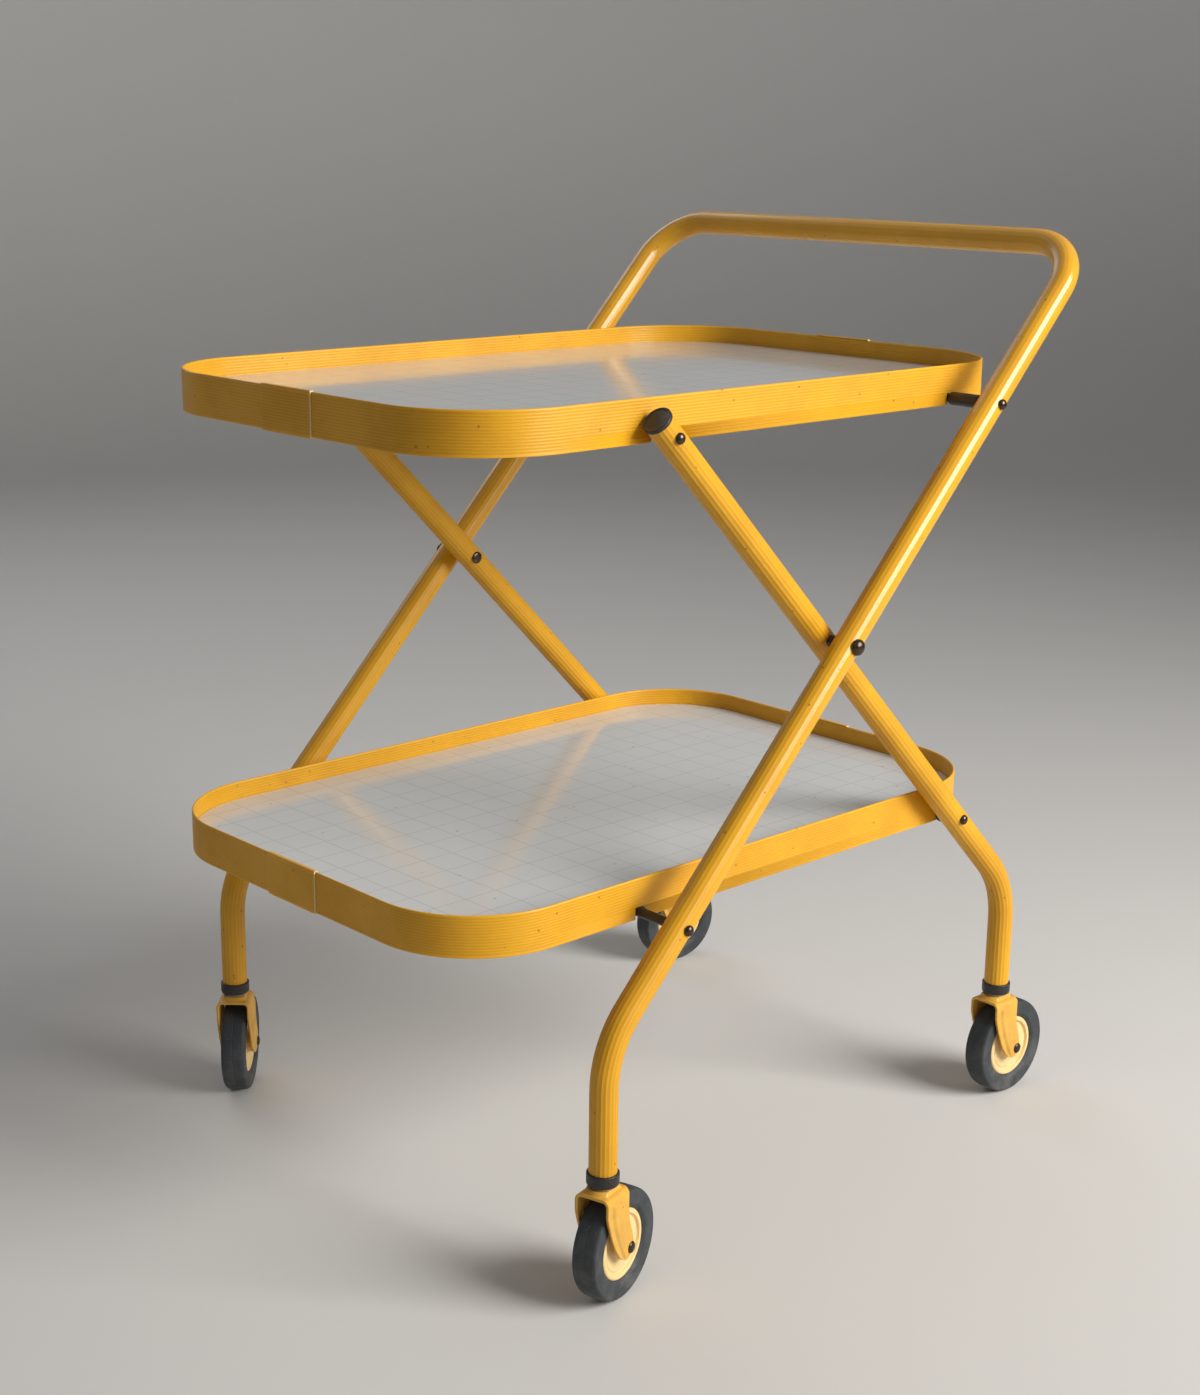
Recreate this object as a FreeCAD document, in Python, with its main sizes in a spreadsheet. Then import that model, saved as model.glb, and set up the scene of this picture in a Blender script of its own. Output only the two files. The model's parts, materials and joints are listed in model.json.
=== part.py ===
import FreeCAD, Part
import Sketcher
import math
import operator
import os
from types import SimpleNamespace

# Folding two-tier serving trolley on four casters.
# +X points to the handle end (rear), -Y is the left side, +Z is up, the floor is z = 0.

doc = FreeCAD.newDocument("serving_trolley")
Vector = FreeCAD.Vector
Rotation = FreeCAD.Rotation
Placement = FreeCAD.Placement

# Driving dimensions, lengths in millimetres and angles in degrees
SIZES = {
    # bent tubes of the frame
    "tube_diameter": 20.0,
    "tube_wall": 1.5,
    "foot_bend_radius": 75.0,
    "handle_bend_radius": 45.0,
    "pivot_offset": 41.0,
    "pivot_height": 430.0,
    "handle_leg_angle": 46.2,
    "rear_leg_angle": 45.4,
    "handle_reach": 154.7,
    "front_foot_reach": 67.5,
    "rear_foot_reach": 71.4,
    "rear_leg_tail": 14.0,
    "side_gap": 2.5,
    "leg_gap": 5.0,
    # plugs in the upper ends of the rear legs
    "cap_rim": 0.6,
    "cap_collar": 2.0,
    "cap_dome": 2.5,
    "cap_plug_gap": 3.0,
    # trays
    "tray_length": 562.0,
    "tray_width": 368.0,
    "tray_corner_radius": 80.0,
    "upper_tray_height": 614.0,
    "lower_tray_height": 284.0,
    "upper_tray_shift": -35.8,
    "lower_tray_shift": -46.3,
    "upper_rod_spacing": 309.3,
    "lower_rod_spacing": 332.6,
    "rim_height": 30.0,
    "rim_wall": 2.0,
    "rim_lip": 14.0,
    "ledge_width": 6.0,
    "ledge_thickness": 1.5,
    "panel_thickness": 4.0,
    "panel_gap": 0.3,
    "clip_length": 56.0,
    "clip_thickness": 0.8,
    "clip_lip": 4.0,
    # cross rods, their sleeves and rivets
    "rod_diameter": 7.0,
    "rod_edge_height": 5.0,
    "rod_bore_depth": 16.0,
    "sleeve_diameter": 10.0,
    "washer_diameter": 13.0,
    "washer_gap": 0.3,
    "notch_gap": 0.5,
    "notch_seat_gap": 0.3,
    "notch_ramp": 15.0,
    "rivet_shank": 4.0,
    "rivet_grip": 14.0,
    "rivet_head": 8.0,
    "rivet_dome": 3.0,
    "crossing_shank": 6.0,
    "crossing_head": 12.0,
    "crossing_dome": 4.5,
    "crossing_tail": 10.0,
    "crossing_tail_dome": 1.5,
    "crossing_washer": 9.0,
    # saddles that hold each tray on its pivot rod
    "saddle_length": 36.0,
    "saddle_width": 18.0,
    "saddle_inset": 30.0,
    "saddle_floor": 1.5,
    "screw_spacing": 24.0,
    "screw_shank": 3.0,
    "screw_depth": 2.5,
    "screw_head": 6.0,
    "screw_dome": 1.8,
    # casters
    "wheel_diameter": 80.0,
    "wheel_width": 19.0,
    "tread_width": 15.5,
    "shoulder_drop": 1.5,
    "sidewall_rise": 3.0,
    "hub_diameter": 51.0,
    "hub_rim_width": 16.0,
    "hub_rim_depth": 4.5,
    "hub_web": 12.0,
    "hub_boss": 16.0,
    "axle_diameter": 6.0,
    "axle_head": 8.6,
    "axle_dome": 1.8,
    "caster_trail": 15.0,
    "tyre_gap": 4.0,
    "wheel_side_gap": 3.0,
    "hub_side_gap": 0.5,
    "fork_plate": 2.5,
    "fork_cheek": 2.0,
    "fork_front": 14.0,
    "fork_back": 13.0,
    "fork_skirt": 13.0,
    "fork_boss": 17.2,
    "fork_tip_shift": 4.0,
    "fork_neck": 3.0,
    "neck_diameter": 21.0,
    "stem_diameter": 8.0,
    "stem_head": 13.0,
    "stem_head_height": 2.0,
    "race_diameter": 18.0,
    "race_height": 1.2,
    "swivel_gap": 1.5,
    "socket_diameter": 23.0,
    "socket_flange": 9.0,
    "socket_plug": 26.0,
    "stem_end_gap": 2.0,
    "front_left_angle": 15.0,
    "front_right_angle": 46.5,
    "rear_left_angle": -1.0,
    "rear_right_angle": -8.0,
    # fits
    "running_fit": 0.05,
    "slip_fit": 0.1,
    "cut_overrun": 5.0,
}

sheet = doc.addObject("Spreadsheet::Sheet", "Sizes")
for row, (alias, value) in enumerate(SIZES.items(), start=1):
    sheet.set("A%d" % row, alias)
    sheet.set("B%d" % row, str(value))
    sheet.setAlias("B%d" % row, alias)
doc.recompute()


class Dim:
    """A dimension: its value now, and the sheet expression that it follows."""

    def __init__(self, value, text):
        self.value = float(value)
        self.text = text

    def __float__(self):
        return self.value

    def __add__(self, other):
        return combined(self, "+", other)

    def __radd__(self, other):
        return combined(other, "+", self)

    def __sub__(self, other):
        return combined(self, "-", other)

    def __rsub__(self, other):
        return combined(other, "-", self)

    def __mul__(self, other):
        return combined(self, "*", other)

    def __rmul__(self, other):
        return combined(other, "*", self)

    def __truediv__(self, other):
        return combined(self, "/", other)

    def __neg__(self):
        return combined(-1, "*", self)


SIGNS = {"+": operator.add, "-": operator.sub, "*": operator.mul, "/": operator.truediv}


def as_dim(number):
    return number if isinstance(number, Dim) else Dim(number, "(%r)" % float(number))


def combined(first, sign, second):
    first = as_dim(first)
    second = as_dim(second)
    return Dim(SIGNS[sign](first.value, second.value), "(%s %s %s)" % (first.text, sign, second.text))


def turned(function, angle):
    """A trigonometric function of an angle in degrees."""
    return Dim(getattr(math, function)(math.radians(angle.value)), "%s(%s)" % (function, angle.text))


def arc_sine(ratio):
    return Dim(math.degrees(math.asin(ratio.value)), "asin(%s)" % ratio.text)


s = SimpleNamespace(**{alias: Dim(sheet.get(alias), "Sizes." + alias) for alias in SIZES})
ZERO = as_dim(0)

# Lines of the frame, worked out from the sheet
tube_radius = s.tube_diameter / 2
bore_radius = tube_radius - s.tube_wall
rear_plane = s.tray_width / 2 + s.side_gap + tube_radius
frame_plane = rear_plane + s.tube_diameter + s.leg_gap
upper_rod_height = s.upper_tray_height - s.rim_height + s.rod_edge_height
lower_rod_height = s.lower_tray_height - s.rim_height + s.rod_edge_height
upper_rise = upper_rod_height - s.pivot_height
lower_drop = s.pivot_height - lower_rod_height
frame_slope = turned("tan", s.handle_leg_angle)
rear_slope = turned("tan", s.rear_leg_angle)
upper_pivot_x = s.pivot_offset + upper_rise / frame_slope
lower_hook_x = s.pivot_offset - lower_drop / frame_slope
upper_hook_x = s.pivot_offset - upper_rise / rear_slope
lower_pivot_x = s.pivot_offset + lower_drop / rear_slope
handle_x = upper_pivot_x + s.handle_reach * turned("cos", s.handle_leg_angle)
handle_height = upper_rod_height + s.handle_reach * turned("sin", s.handle_leg_angle)
front_foot_x = lower_hook_x - s.front_foot_reach
rear_foot_x = lower_pivot_x + s.rear_foot_reach
front_corner_height = lower_rod_height - s.front_foot_reach * frame_slope
rear_corner_height = lower_rod_height - s.rear_foot_reach * rear_slope
rear_leg_length = upper_rise / turned("sin", s.rear_leg_angle) + s.rear_leg_tail
rear_end_x = s.pivot_offset - rear_leg_length * turned("cos", s.rear_leg_angle)
rear_end_height = s.pivot_height + rear_leg_length * turned("sin", s.rear_leg_angle)

# Heights of the caster, from the floor up
axle_height = s.wheel_diameter / 2
fork_roof = s.wheel_diameter + s.tyre_gap
fork_top = fork_roof + s.fork_plate
neck_top = fork_top + s.fork_neck
socket_base = neck_top + s.swivel_gap
tube_end = socket_base + s.socket_flange

# Left is -Y and right is +Y
SIDES = (("left", -1), ("right", 1))
UP = Vector(0, 0, 1)
nodes = []


def keep(item, label):
    """Names a finished sub-part, which becomes one file."""
    item.Label = label
    nodes.append(item)
    return item


def bind(item, **sizes):
    """Sets properties to dimensions and ties them to the sheet."""
    for name, size in sizes.items():
        setattr(item, name, float(size))
        item.setExpression(name, as_dim(size).text)
    return item


def place(item, point, rotation=None):
    """Stands an object at a point given in dimensions."""
    point = [as_dim(value) for value in point]
    item.Placement = Placement(Vector(*[float(value) for value in point]), rotation or Rotation())
    for axis, value in zip("xyz", point):
        item.setExpression("Placement.Base." + axis, value.text)
    return item


def cylinder(name, point, direction, radius, height):
    item = doc.addObject("Part::Cylinder", name)
    bind(item, Radius=radius, Height=height)
    return place(item, point, Rotation(UP, Vector(*direction)))


def cut(name, base, tools):
    group = doc.addObject("Part::Compound", name + "_tools")
    group.Links = tools
    item = doc.addObject("Part::Cut", name)
    item.Base = base
    item.Tool = group
    return item


def fused(name, shapes):
    item = doc.addObject("Part::MultiFuse", name)
    item.Shapes = shapes
    return item


def grouped(name, shapes):
    item = doc.addObject("Part::Compound", name)
    item.Links = shapes
    return keep(item, name)


def moved(point, direction, distance):
    """The point that lies a distance along a direction."""
    return [value + distance * share for value, share in zip(point, direction)]


def dome(name, point, direction, diameter, height):
    """A spherical cap whose flat face sits at the point."""
    radius = diameter / 2
    ball = (radius * radius + height * height) / (height * 2)
    item = doc.addObject("Part::Sphere", name)
    bind(item, Radius=ball, Angle1=arc_sine((ball - height) / ball))
    centre = moved(point, direction, height - ball)
    return place(item, centre, Rotation(UP, Vector(*[float(share) for share in direction])))


def rivet(name, point, direction, head, height, shank, length):
    """A domed head on the point, with its shank running back from it."""
    back = [share * -1 for share in direction]
    stem = cylinder(name + "_shank", point, back, shank / 2, length)
    return fused(name, [dome(name + "_head", point, direction, head, height), stem])


def bent_path(points, radii):
    """Straight runs joined by tangent arcs."""
    points = [Vector(*[float(value) for value in point]) for point in points]
    edges = []
    start = points[0]
    for before, corner, after, radius in zip(points, points[1:], points[2:], radii):
        to_start = (before - corner).normalize()
        to_end = (after - corner).normalize()
        half = to_start.getAngle(to_end) / 2
        reach = float(radius) / math.tan(half)
        first = corner + to_start * reach
        last = corner + to_end * reach
        middle_way = (to_start + to_end).normalize()
        middle = corner + middle_way * (float(radius) / math.sin(half) - float(radius))
        edges.append(Part.LineSegment(start, first).toShape())
        edges.append(Part.Arc(first, middle, last).toShape())
        start = last
    edges.append(Part.LineSegment(start, points[-1]).toShape())
    return Part.Wire(edges)


def bent_tube(name, points, radii, holes):
    """A hollow round tube along a bent path, with cross holes."""
    path = bent_path(points, radii)
    spine = doc.addObject("Part::Feature", name + "_path")
    spine.Shape = path
    solids = []
    for layer, radius in (("outside", tube_radius), ("inside", bore_radius)):
        section = doc.addObject("Part::Circle", name + "_" + layer + "_circle")
        place(bind(section, Radius=radius), points[0])
        sweep = doc.addObject("Part::Sweep", name + "_" + layer)
        sweep.Sections = [section]
        sweep.Spine = (spine, ["Edge%d" % (index + 1) for index in range(len(path.Edges))])
        sweep.Solid = True
        sweep.Frenet = False
        solids.append(sweep)
    return keep(cut(name, cut(name + "_pipe", solids[0], [solids[1]]), holes), name)


def tube_hole(name, x, plane, height, radius):
    """A cross hole through both walls of a tube that lies in a plane."""
    start = plane - tube_radius - s.cut_overrun
    return cylinder(name, (x, start, height), (0, 1, 0), radius, s.tube_diameter + s.cut_overrun * 2)


# Sketches and body features
def new_body(name):
    return doc.addObject("PartDesign::Body", name)


def new_sketch(body, role, name, lift=ZERO):
    sketch = body.newObject("Sketcher::SketchObject", name)
    planes = [feature for feature in body.Origin.OriginFeatures if feature.Role == role]
    sketch.AttachmentSupport = (planes[0], [""])
    sketch.MapMode = "FlatFace"
    sketch.AttachmentOffset = Placement(Vector(0, 0, float(lift)), Rotation())
    sketch.setExpression("AttachmentOffset.Base.z", lift.text)
    return sketch


def held(sketch, constraint, size):
    index = sketch.addConstraint(constraint)
    sketch.setExpression("Constraints[%d]" % index, size.text)


def hold_point(sketch, line, end, x, y):
    """Holds one end of a line, or a centre, at its distances from the axes."""
    for kind, axis, size in (("DistanceX", -2, as_dim(x)), ("DistanceY", -1, as_dim(y))):
        if size is ZERO:
            sketch.addConstraint(Sketcher.Constraint("PointOnObject", line, end, axis))
        else:
            held(sketch, Sketcher.Constraint(kind, -1, 1, line, end, size.value), size)


def polygon(sketch, points):
    first = sketch.GeometryCount
    count = len(points)
    corners = [Vector(float(x), float(y), 0) for x, y in points]
    for index in range(count):
        sketch.addGeometry(Part.LineSegment(corners[index], corners[(index + 1) % count]), False)
    for index in range(count):
        after = first + (index + 1) % count
        sketch.addConstraint(Sketcher.Constraint("Coincident", first + index, 2, after, 1))
    for index, (x, y) in enumerate(points):
        hold_point(sketch, first + index, 1, x, y)


def circle(sketch, x, y, radius):
    centre = Vector(float(x), float(y), 0)
    line = sketch.addGeometry(Part.Circle(centre, UP, float(radius)), False)
    hold_point(sketch, line, 3, x, y)
    held(sketch, Sketcher.Constraint("Radius", line, float(radius)), radius)


def rounded_rectangle(sketch, length, width, radius):
    """A rectangle about the origin with four equal round corners."""
    first = sketch.GeometryCount
    across = float(length / 2)
    up = float(width / 2)
    bend = float(radius)
    quarter = math.pi / 2
    turns = ((1, -1), (1, 1), (-1, 1), (-1, -1))
    for index, (side, rise) in enumerate(turns):
        last_side, last_rise = turns[index - 1]
        if index % 2 == 0:
            start = Vector(last_side * (across - bend), rise * up, 0)
            end = Vector(side * (across - bend), rise * up, 0)
        else:
            start = Vector(side * across, last_rise * (up - bend), 0)
            end = Vector(side * across, rise * (up - bend), 0)
        sketch.addGeometry(Part.LineSegment(start, end), False)
        centre = Vector(side * (across - bend), rise * (up - bend), 0)
        corner = Part.Circle(centre, UP, bend)
        sketch.addGeometry(Part.ArcOfCircle(corner, (index - 1) * quarter, index * quarter), False)
    count = 2 * len(turns)
    for index in range(count):
        after = first + (index + 1) % count
        sketch.addConstraint(Sketcher.Constraint("Tangent", first + index, 2, after, 1))
    bottom, right, top, left = [first + 2 * index for index in range(len(turns))]
    for line in (bottom, top):
        sketch.addConstraint(Sketcher.Constraint("Horizontal", line))
    for line in (right, left):
        sketch.addConstraint(Sketcher.Constraint("Vertical", line))
    for index in range(1, len(turns)):
        sketch.addConstraint(Sketcher.Constraint("Equal", first + 1, first + 1 + 2 * index))
    held(sketch, Sketcher.Constraint("Radius", first + 1, bend), radius)
    held(sketch, Sketcher.Constraint("DistanceX", -1, 1, right, 1, across), length / 2)
    held(sketch, Sketcher.Constraint("DistanceX", -1, 1, left, 1, -across), -(length / 2))
    held(sketch, Sketcher.Constraint("DistanceY", -1, 1, top, 1, up), width / 2)
    held(sketch, Sketcher.Constraint("DistanceY", -1, 1, bottom, 1, -up), -(width / 2))


def pad(body, sketch, name, length, side="One side"):
    feature = body.newObject("PartDesign::Pad", name)
    feature.Profile = sketch
    feature.SideType = side
    return bind(feature, Length=length)


def pocket(body, sketch, name, depth=None):
    """Cuts right through both ways, or upwards to a depth."""
    before = body.Tip
    doc.recompute()
    full = body.Shape.Volume
    feature = body.newObject("PartDesign::Pocket", name)
    feature.Profile = sketch
    if depth is None:
        feature.SideType = "Symmetric"
        feature.Type = "ThroughAll"
    else:
        feature.Reversed = True
        bind(feature, Length=depth)
    doc.recompute()
    if not body.Shape.Volume < full:
        raise RuntimeError("%s cuts nothing from %s" % (name, before.Name))
    return feature


def revolved(label, outline):
    """A body turned about its own Z axis from an outline of radius and height."""
    body = new_body(label)
    sketch = new_sketch(body, "XZ_Plane", label + "_outline")
    polygon(sketch, outline)
    feature = body.newObject("PartDesign::Revolution", label + "_turn")
    feature.Profile = sketch
    feature.ReferenceAxis = (sketch, ["V_Axis"])
    feature.Angle = 360
    return keep(body, label)


# Handle frame: one tube from caster to caster by way of the handle
frame_holes = []
for side, sign in SIDES:
    plane = frame_plane * sign
    rod_hole = s.rivet_shank / 2 + s.slip_fit
    pivot_hole = s.crossing_shank / 2 + s.running_fit
    frame_holes.append(tube_hole("frame_upper_" + side, upper_pivot_x, plane, upper_rod_height, rod_hole))
    frame_holes.append(tube_hole("frame_lower_" + side, lower_hook_x, plane, lower_rod_height, rod_hole))
    frame_holes.append(tube_hole("frame_pivot_" + side, s.pivot_offset, plane, s.pivot_height, pivot_hole))
frame_points = [
    (front_foot_x, -frame_plane, tube_end),
    (front_foot_x, -frame_plane, front_corner_height),
    (handle_x, -frame_plane, handle_height),
    (handle_x, frame_plane, handle_height),
    (front_foot_x, frame_plane, front_corner_height),
    (front_foot_x, frame_plane, tube_end),
]
frame_bends = [s.foot_bend_radius, s.handle_bend_radius, s.handle_bend_radius, s.foot_bend_radius]
bent_tube("handle_frame_tube", frame_points, frame_bends, frame_holes)

# Rear legs: a pair of tubes inside the handle frame, plugged at their upper ends
rear_way = (-turned("cos", s.rear_leg_angle), ZERO, turned("sin", s.rear_leg_angle))
for side, sign in SIDES:
    plane = rear_plane * sign
    rod_hole = s.rivet_shank / 2 + s.slip_fit
    pivot_hole = s.crossing_shank / 2 + s.running_fit
    leg_holes = [
        tube_hole("leg_upper_" + side, upper_hook_x, plane, upper_rod_height, rod_hole),
        tube_hole("leg_lower_" + side, lower_pivot_x, plane, lower_rod_height, rod_hole),
        tube_hole("leg_pivot_" + side, s.pivot_offset, plane, s.pivot_height, pivot_hole),
    ]
    leg_points = [
        (rear_foot_x, plane, tube_end),
        (rear_foot_x, plane, rear_corner_height),
        (rear_end_x, plane, rear_end_height),
    ]
    bent_tube("rear_leg_%s_tube" % side, leg_points, [s.foot_bend_radius], leg_holes)

    name = "rear_leg_%s_cap" % side
    end_point = [rear_end_x, plane, rear_end_height]
    into_tube = [-rear_way[0], ZERO, -rear_way[2]]
    way_in = [float(share) for share in into_tube]
    way_out = [float(share) for share in rear_way]
    cap_diameter = s.tube_diameter + s.cap_rim * 2
    plug_length = s.rear_leg_tail - s.rivet_shank / 2 - s.cap_plug_gap
    plug = cylinder(name + "_plug", end_point, way_in, bore_radius - s.slip_fit, plug_length)
    collar = cylinder(name + "_collar", end_point, way_out, cap_diameter / 2, s.cap_collar)
    crown_point = moved(end_point, rear_way, s.cap_collar)
    crown = dome(name + "_crown", crown_point, rear_way, cap_diameter, s.cap_dome)
    keep(fused(name, [plug, collar, crown]), name)

# Cross rods, bored at both ends for their rivets
RODS = (
    ("upper_pivot_rod", upper_pivot_x, upper_rod_height, frame_plane),
    ("lower_hook_rod", lower_hook_x, lower_rod_height, frame_plane),
    ("upper_hook_rod", upper_hook_x, upper_rod_height, rear_plane),
    ("lower_pivot_rod", lower_pivot_x, lower_rod_height, rear_plane),
)
rod_rivets = {}
for name, x, height, plane in RODS:
    reach = plane - tube_radius
    bar = cylinder(name + "_bar", (x, -reach, height), (0, 1, 0), s.rod_diameter / 2, reach * 2)
    bores = []
    for side, sign in SIDES:
        end_point = (x, reach * sign, height)
        inward = (0, -sign, 0)
        bore = s.rivet_shank / 2 + s.slip_fit
        bores.append(cylinder(name + "_bore_" + side, end_point, inward, bore, s.rod_bore_depth))
        head_point = (x, (plane + tube_radius) * sign, height)
        length = s.tube_diameter + s.rivet_grip
        pin = rivet(name + "_rivet_" + side, head_point, (0, sign, 0), s.rivet_head, s.rivet_dome,
                    s.rivet_shank, length)
        rod_rivets.setdefault(plane, []).append(pin)
    keep(cut(name, bar, bores), name)
grouped("frame_rod_rivets", rod_rivets[frame_plane])
grouped("rear_leg_rod_rivets", rod_rivets[rear_plane])


def ring(name, point, direction, outside, inside, length):
    """A sleeve or washer."""
    body = cylinder(name + "_body", point, direction, outside, length)
    bore = cylinder(name + "_bore", point, direction, inside, length)
    return cut(name, body, [bore])


# Sleeves and washers that centre the trays on their pivot rods
sleeves = []
washers = []
spacers = []
pins = []
for side, sign in SIDES:
    way = (0, -sign, 0)
    rod_fit = s.rod_diameter / 2 + s.slip_fit
    sleeve_length = frame_plane - tube_radius - s.tray_width / 2 - s.side_gap / 2
    sleeve_point = (upper_pivot_x, (frame_plane - tube_radius) * sign, upper_rod_height)
    sleeves.append(ring("sleeve_" + side, sleeve_point, way, s.sleeve_diameter / 2, rod_fit, sleeve_length))
    washer_point = (lower_pivot_x, (rear_plane - tube_radius - s.washer_gap) * sign, lower_rod_height)
    washer_length = s.side_gap - s.washer_gap * 2
    washers.append(ring("washer_" + side, washer_point, way, s.washer_diameter / 2, rod_fit, washer_length))

    # Rivet, and spacer between the tubes, at the crossing of the legs
    spacer_point = (s.pivot_offset, (frame_plane - tube_radius - s.washer_gap) * sign, s.pivot_height)
    pin_fit = s.crossing_shank / 2 + s.slip_fit
    spacer_length = s.leg_gap - s.washer_gap * 2
    spacers.append(ring("spacer_" + side, spacer_point, way, s.crossing_washer / 2, pin_fit, spacer_length))
    head_point = (s.pivot_offset, (frame_plane + tube_radius) * sign, s.pivot_height)
    tail_point = (s.pivot_offset, (rear_plane - tube_radius) * sign, s.pivot_height)
    pin_length = frame_plane - rear_plane + s.tube_diameter
    pin = rivet("pivot_pin_" + side, head_point, (0, sign, 0), s.crossing_head, s.crossing_dome,
                s.crossing_shank, pin_length)
    tail = dome("pivot_tail_" + side, tail_point, way, s.crossing_tail, s.crossing_tail_dome)
    pins.append(fused("pivot_rivet_" + side, [pin, tail]))
grouped("upper_pivot_sleeves", sleeves)
grouped("lower_pivot_washers", washers)
grouped("crossing_spacers", spacers)
grouped("crossing_rivets", pins)

# Trays: a rim in two halves, joint clips, a panel on the rim's ledge and saddles on the pivot rod
panel_base = s.rim_height - s.rim_lip - s.panel_thickness
ledge_base = panel_base - s.ledge_thickness
rod_radius = s.rod_diameter / 2
saddle_base = s.rod_edge_height - rod_radius - s.saddle_floor
saddle_plane = s.tray_width / 2 - s.rim_wall - s.ledge_width - s.saddle_inset - s.saddle_width / 2


def inset_rectangle(sketch, length, inset):
    rounded_rectangle(sketch, length - inset * 2, s.tray_width - inset * 2, s.tray_corner_radius - inset)


def tray_rim(label, sign, corner, length, hook, pivot):
    """Half of the rim: a wall with a ledge, notched below for the rods."""
    body = new_body(label)
    wall = new_sketch(body, "XY_Plane", label + "_wall")
    inset_rectangle(wall, length, ZERO)
    inset_rectangle(wall, length, s.rim_wall)
    pad(body, wall, label + "_wall_pad", s.rim_height)
    ledge = new_sketch(body, "XY_Plane", label + "_ledge", ledge_base)
    inset_rectangle(ledge, length, s.rim_wall)
    inset_rectangle(ledge, length, s.rim_wall + s.ledge_width)
    pad(body, ledge, label + "_ledge_pad", s.ledge_thickness)

    half = new_sketch(body, "XY_Plane", label + "_half")
    end = length / 2 + s.cut_overrun
    far = (s.tray_width / 2 + s.cut_overrun) * -sign
    polygon(half, [(-end, ZERO), (end, ZERO), (end, far), (-end, far)])
    pocket(body, half, label + "_half_cut")

    notch = new_sketch(body, "XZ_Plane", label + "_notches")
    below = -s.cut_overrun
    side_room = rod_radius + s.notch_gap
    hook_top = s.rod_edge_height + rod_radius + s.notch_seat_gap
    pivot_top = s.rod_edge_height + side_room
    ramp_foot = hook + side_room + s.notch_ramp
    polygon(notch, [(hook - side_room, below), (hook - side_room, hook_top),
                    (hook + side_room, hook_top), (ramp_foot, below)])
    polygon(notch, [(pivot - side_room, below), (pivot - side_room, pivot_top),
                    (pivot + side_room, pivot_top), (pivot + side_room, below)])
    pocket(body, notch, label + "_notch_cut")
    place(body, corner)
    return keep(body, label)


def tray_clip(label, sign, corner, length):
    """A folded strip that covers the joint of the two rim halves."""
    body = new_body(label)
    outline = new_sketch(body, "XZ_Plane", label + "_outline")
    face = length / 2 * sign
    outer = (length / 2 + s.clip_thickness) * sign
    inner = (length / 2 - s.rim_wall) * sign
    lip = (length / 2 - s.rim_wall - s.clip_thickness) * sign
    under = -s.clip_thickness
    above = s.rim_height + s.clip_thickness
    polygon(outline, [(outer, under), (lip, under), (lip, s.clip_lip), (inner, s.clip_lip), (inner, ZERO),
                      (face, ZERO), (face, s.rim_height), (inner, s.rim_height), (inner, above), (outer, above)])
    pad(body, outline, label + "_pad", s.clip_length, "Symmetric")
    place(body, corner)
    return keep(body, label)


def tray_panel(label, corner, length, screw_spots):
    """The tray board, with blind holes for the saddle screws."""
    body = new_body(label)
    board = new_sketch(body, "XY_Plane", label + "_board", panel_base)
    inset_rectangle(board, length, s.rim_wall + s.panel_gap)
    pad(body, board, label + "_pad", s.panel_thickness)
    holes = new_sketch(body, "XY_Plane", label + "_holes", panel_base)
    for x, y in screw_spots:
        circle(holes, x, y, s.screw_shank / 2 + s.slip_fit)
    pocket(body, holes, label + "_hole_cut", s.screw_depth + s.slip_fit)
    place(body, corner)
    return keep(body, label)


# A tray is as long as the sheet says when its rods have their usual spacing, and follows them if they spread
TRAYS = (
    ("upper_tray", s.upper_tray_shift, s.upper_rod_spacing, s.upper_tray_height, upper_hook_x, upper_pivot_x),
    ("lower_tray", s.lower_tray_shift, s.lower_rod_spacing, s.lower_tray_height, lower_hook_x, lower_pivot_x),
)
for tray, shift, spacing, top, hook_x, pivot_x in TRAYS:
    length = s.tray_length + pivot_x - hook_x - spacing
    middle_x = (hook_x + pivot_x) / 2 + shift
    corner = (middle_x, ZERO, top - s.rim_height)
    hook = hook_x - middle_x
    pivot = pivot_x - middle_x
    for side, sign in SIDES:
        tray_rim("%s_rim_%s" % (tray, side), sign, corner, length, hook, pivot)
    for end, sign in (("front", -1), ("rear", 1)):
        tray_clip("%s_clip_%s" % (tray, end), sign, corner, length)

    half_spacing = s.screw_spacing / 2
    spots = [(pivot + half_spacing * across, saddle_plane * sign) for across in (-1, 1) for side, sign in SIDES]
    tray_panel(tray + "_panel", corner, length, spots)

    saddles = []
    screws = []
    base_height = corner[2] + saddle_base
    saddle_height = panel_base - saddle_base
    for side, sign in SIDES:
        name = "%s_saddle_%s" % (tray, side)
        middle = saddle_plane * sign
        block = doc.addObject("Part::Box", name + "_block")
        bind(block, Length=s.saddle_length, Width=s.saddle_width, Height=saddle_height)
        place(block, (pivot_x - s.saddle_length / 2, middle - s.saddle_width / 2, base_height))
        bore_point = (pivot_x, middle - s.saddle_width / 2, corner[2] + s.rod_edge_height)
        bores = [cylinder(name + "_bore", bore_point, (0, 1, 0), rod_radius + s.running_fit, s.saddle_width)]
        for across in (-1, 1):
            spot = (pivot_x + half_spacing * across, middle, base_height)
            tag = "%s_screw_%s_%d" % (tray, side, len(screws))
            bores.append(cylinder(tag + "_bore", spot, (0, 0, 1), s.screw_shank / 2 + s.slip_fit, saddle_height))
            screws.append(rivet(tag, spot, (0, 0, -1), s.screw_head, s.screw_dome, s.screw_shank,
                                saddle_height + s.screw_depth))
        saddles.append(cut(name, block, bores))
    grouped(tray + "_saddles", saddles)
    grouped(tray + "_saddle_screws", screws)

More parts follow.
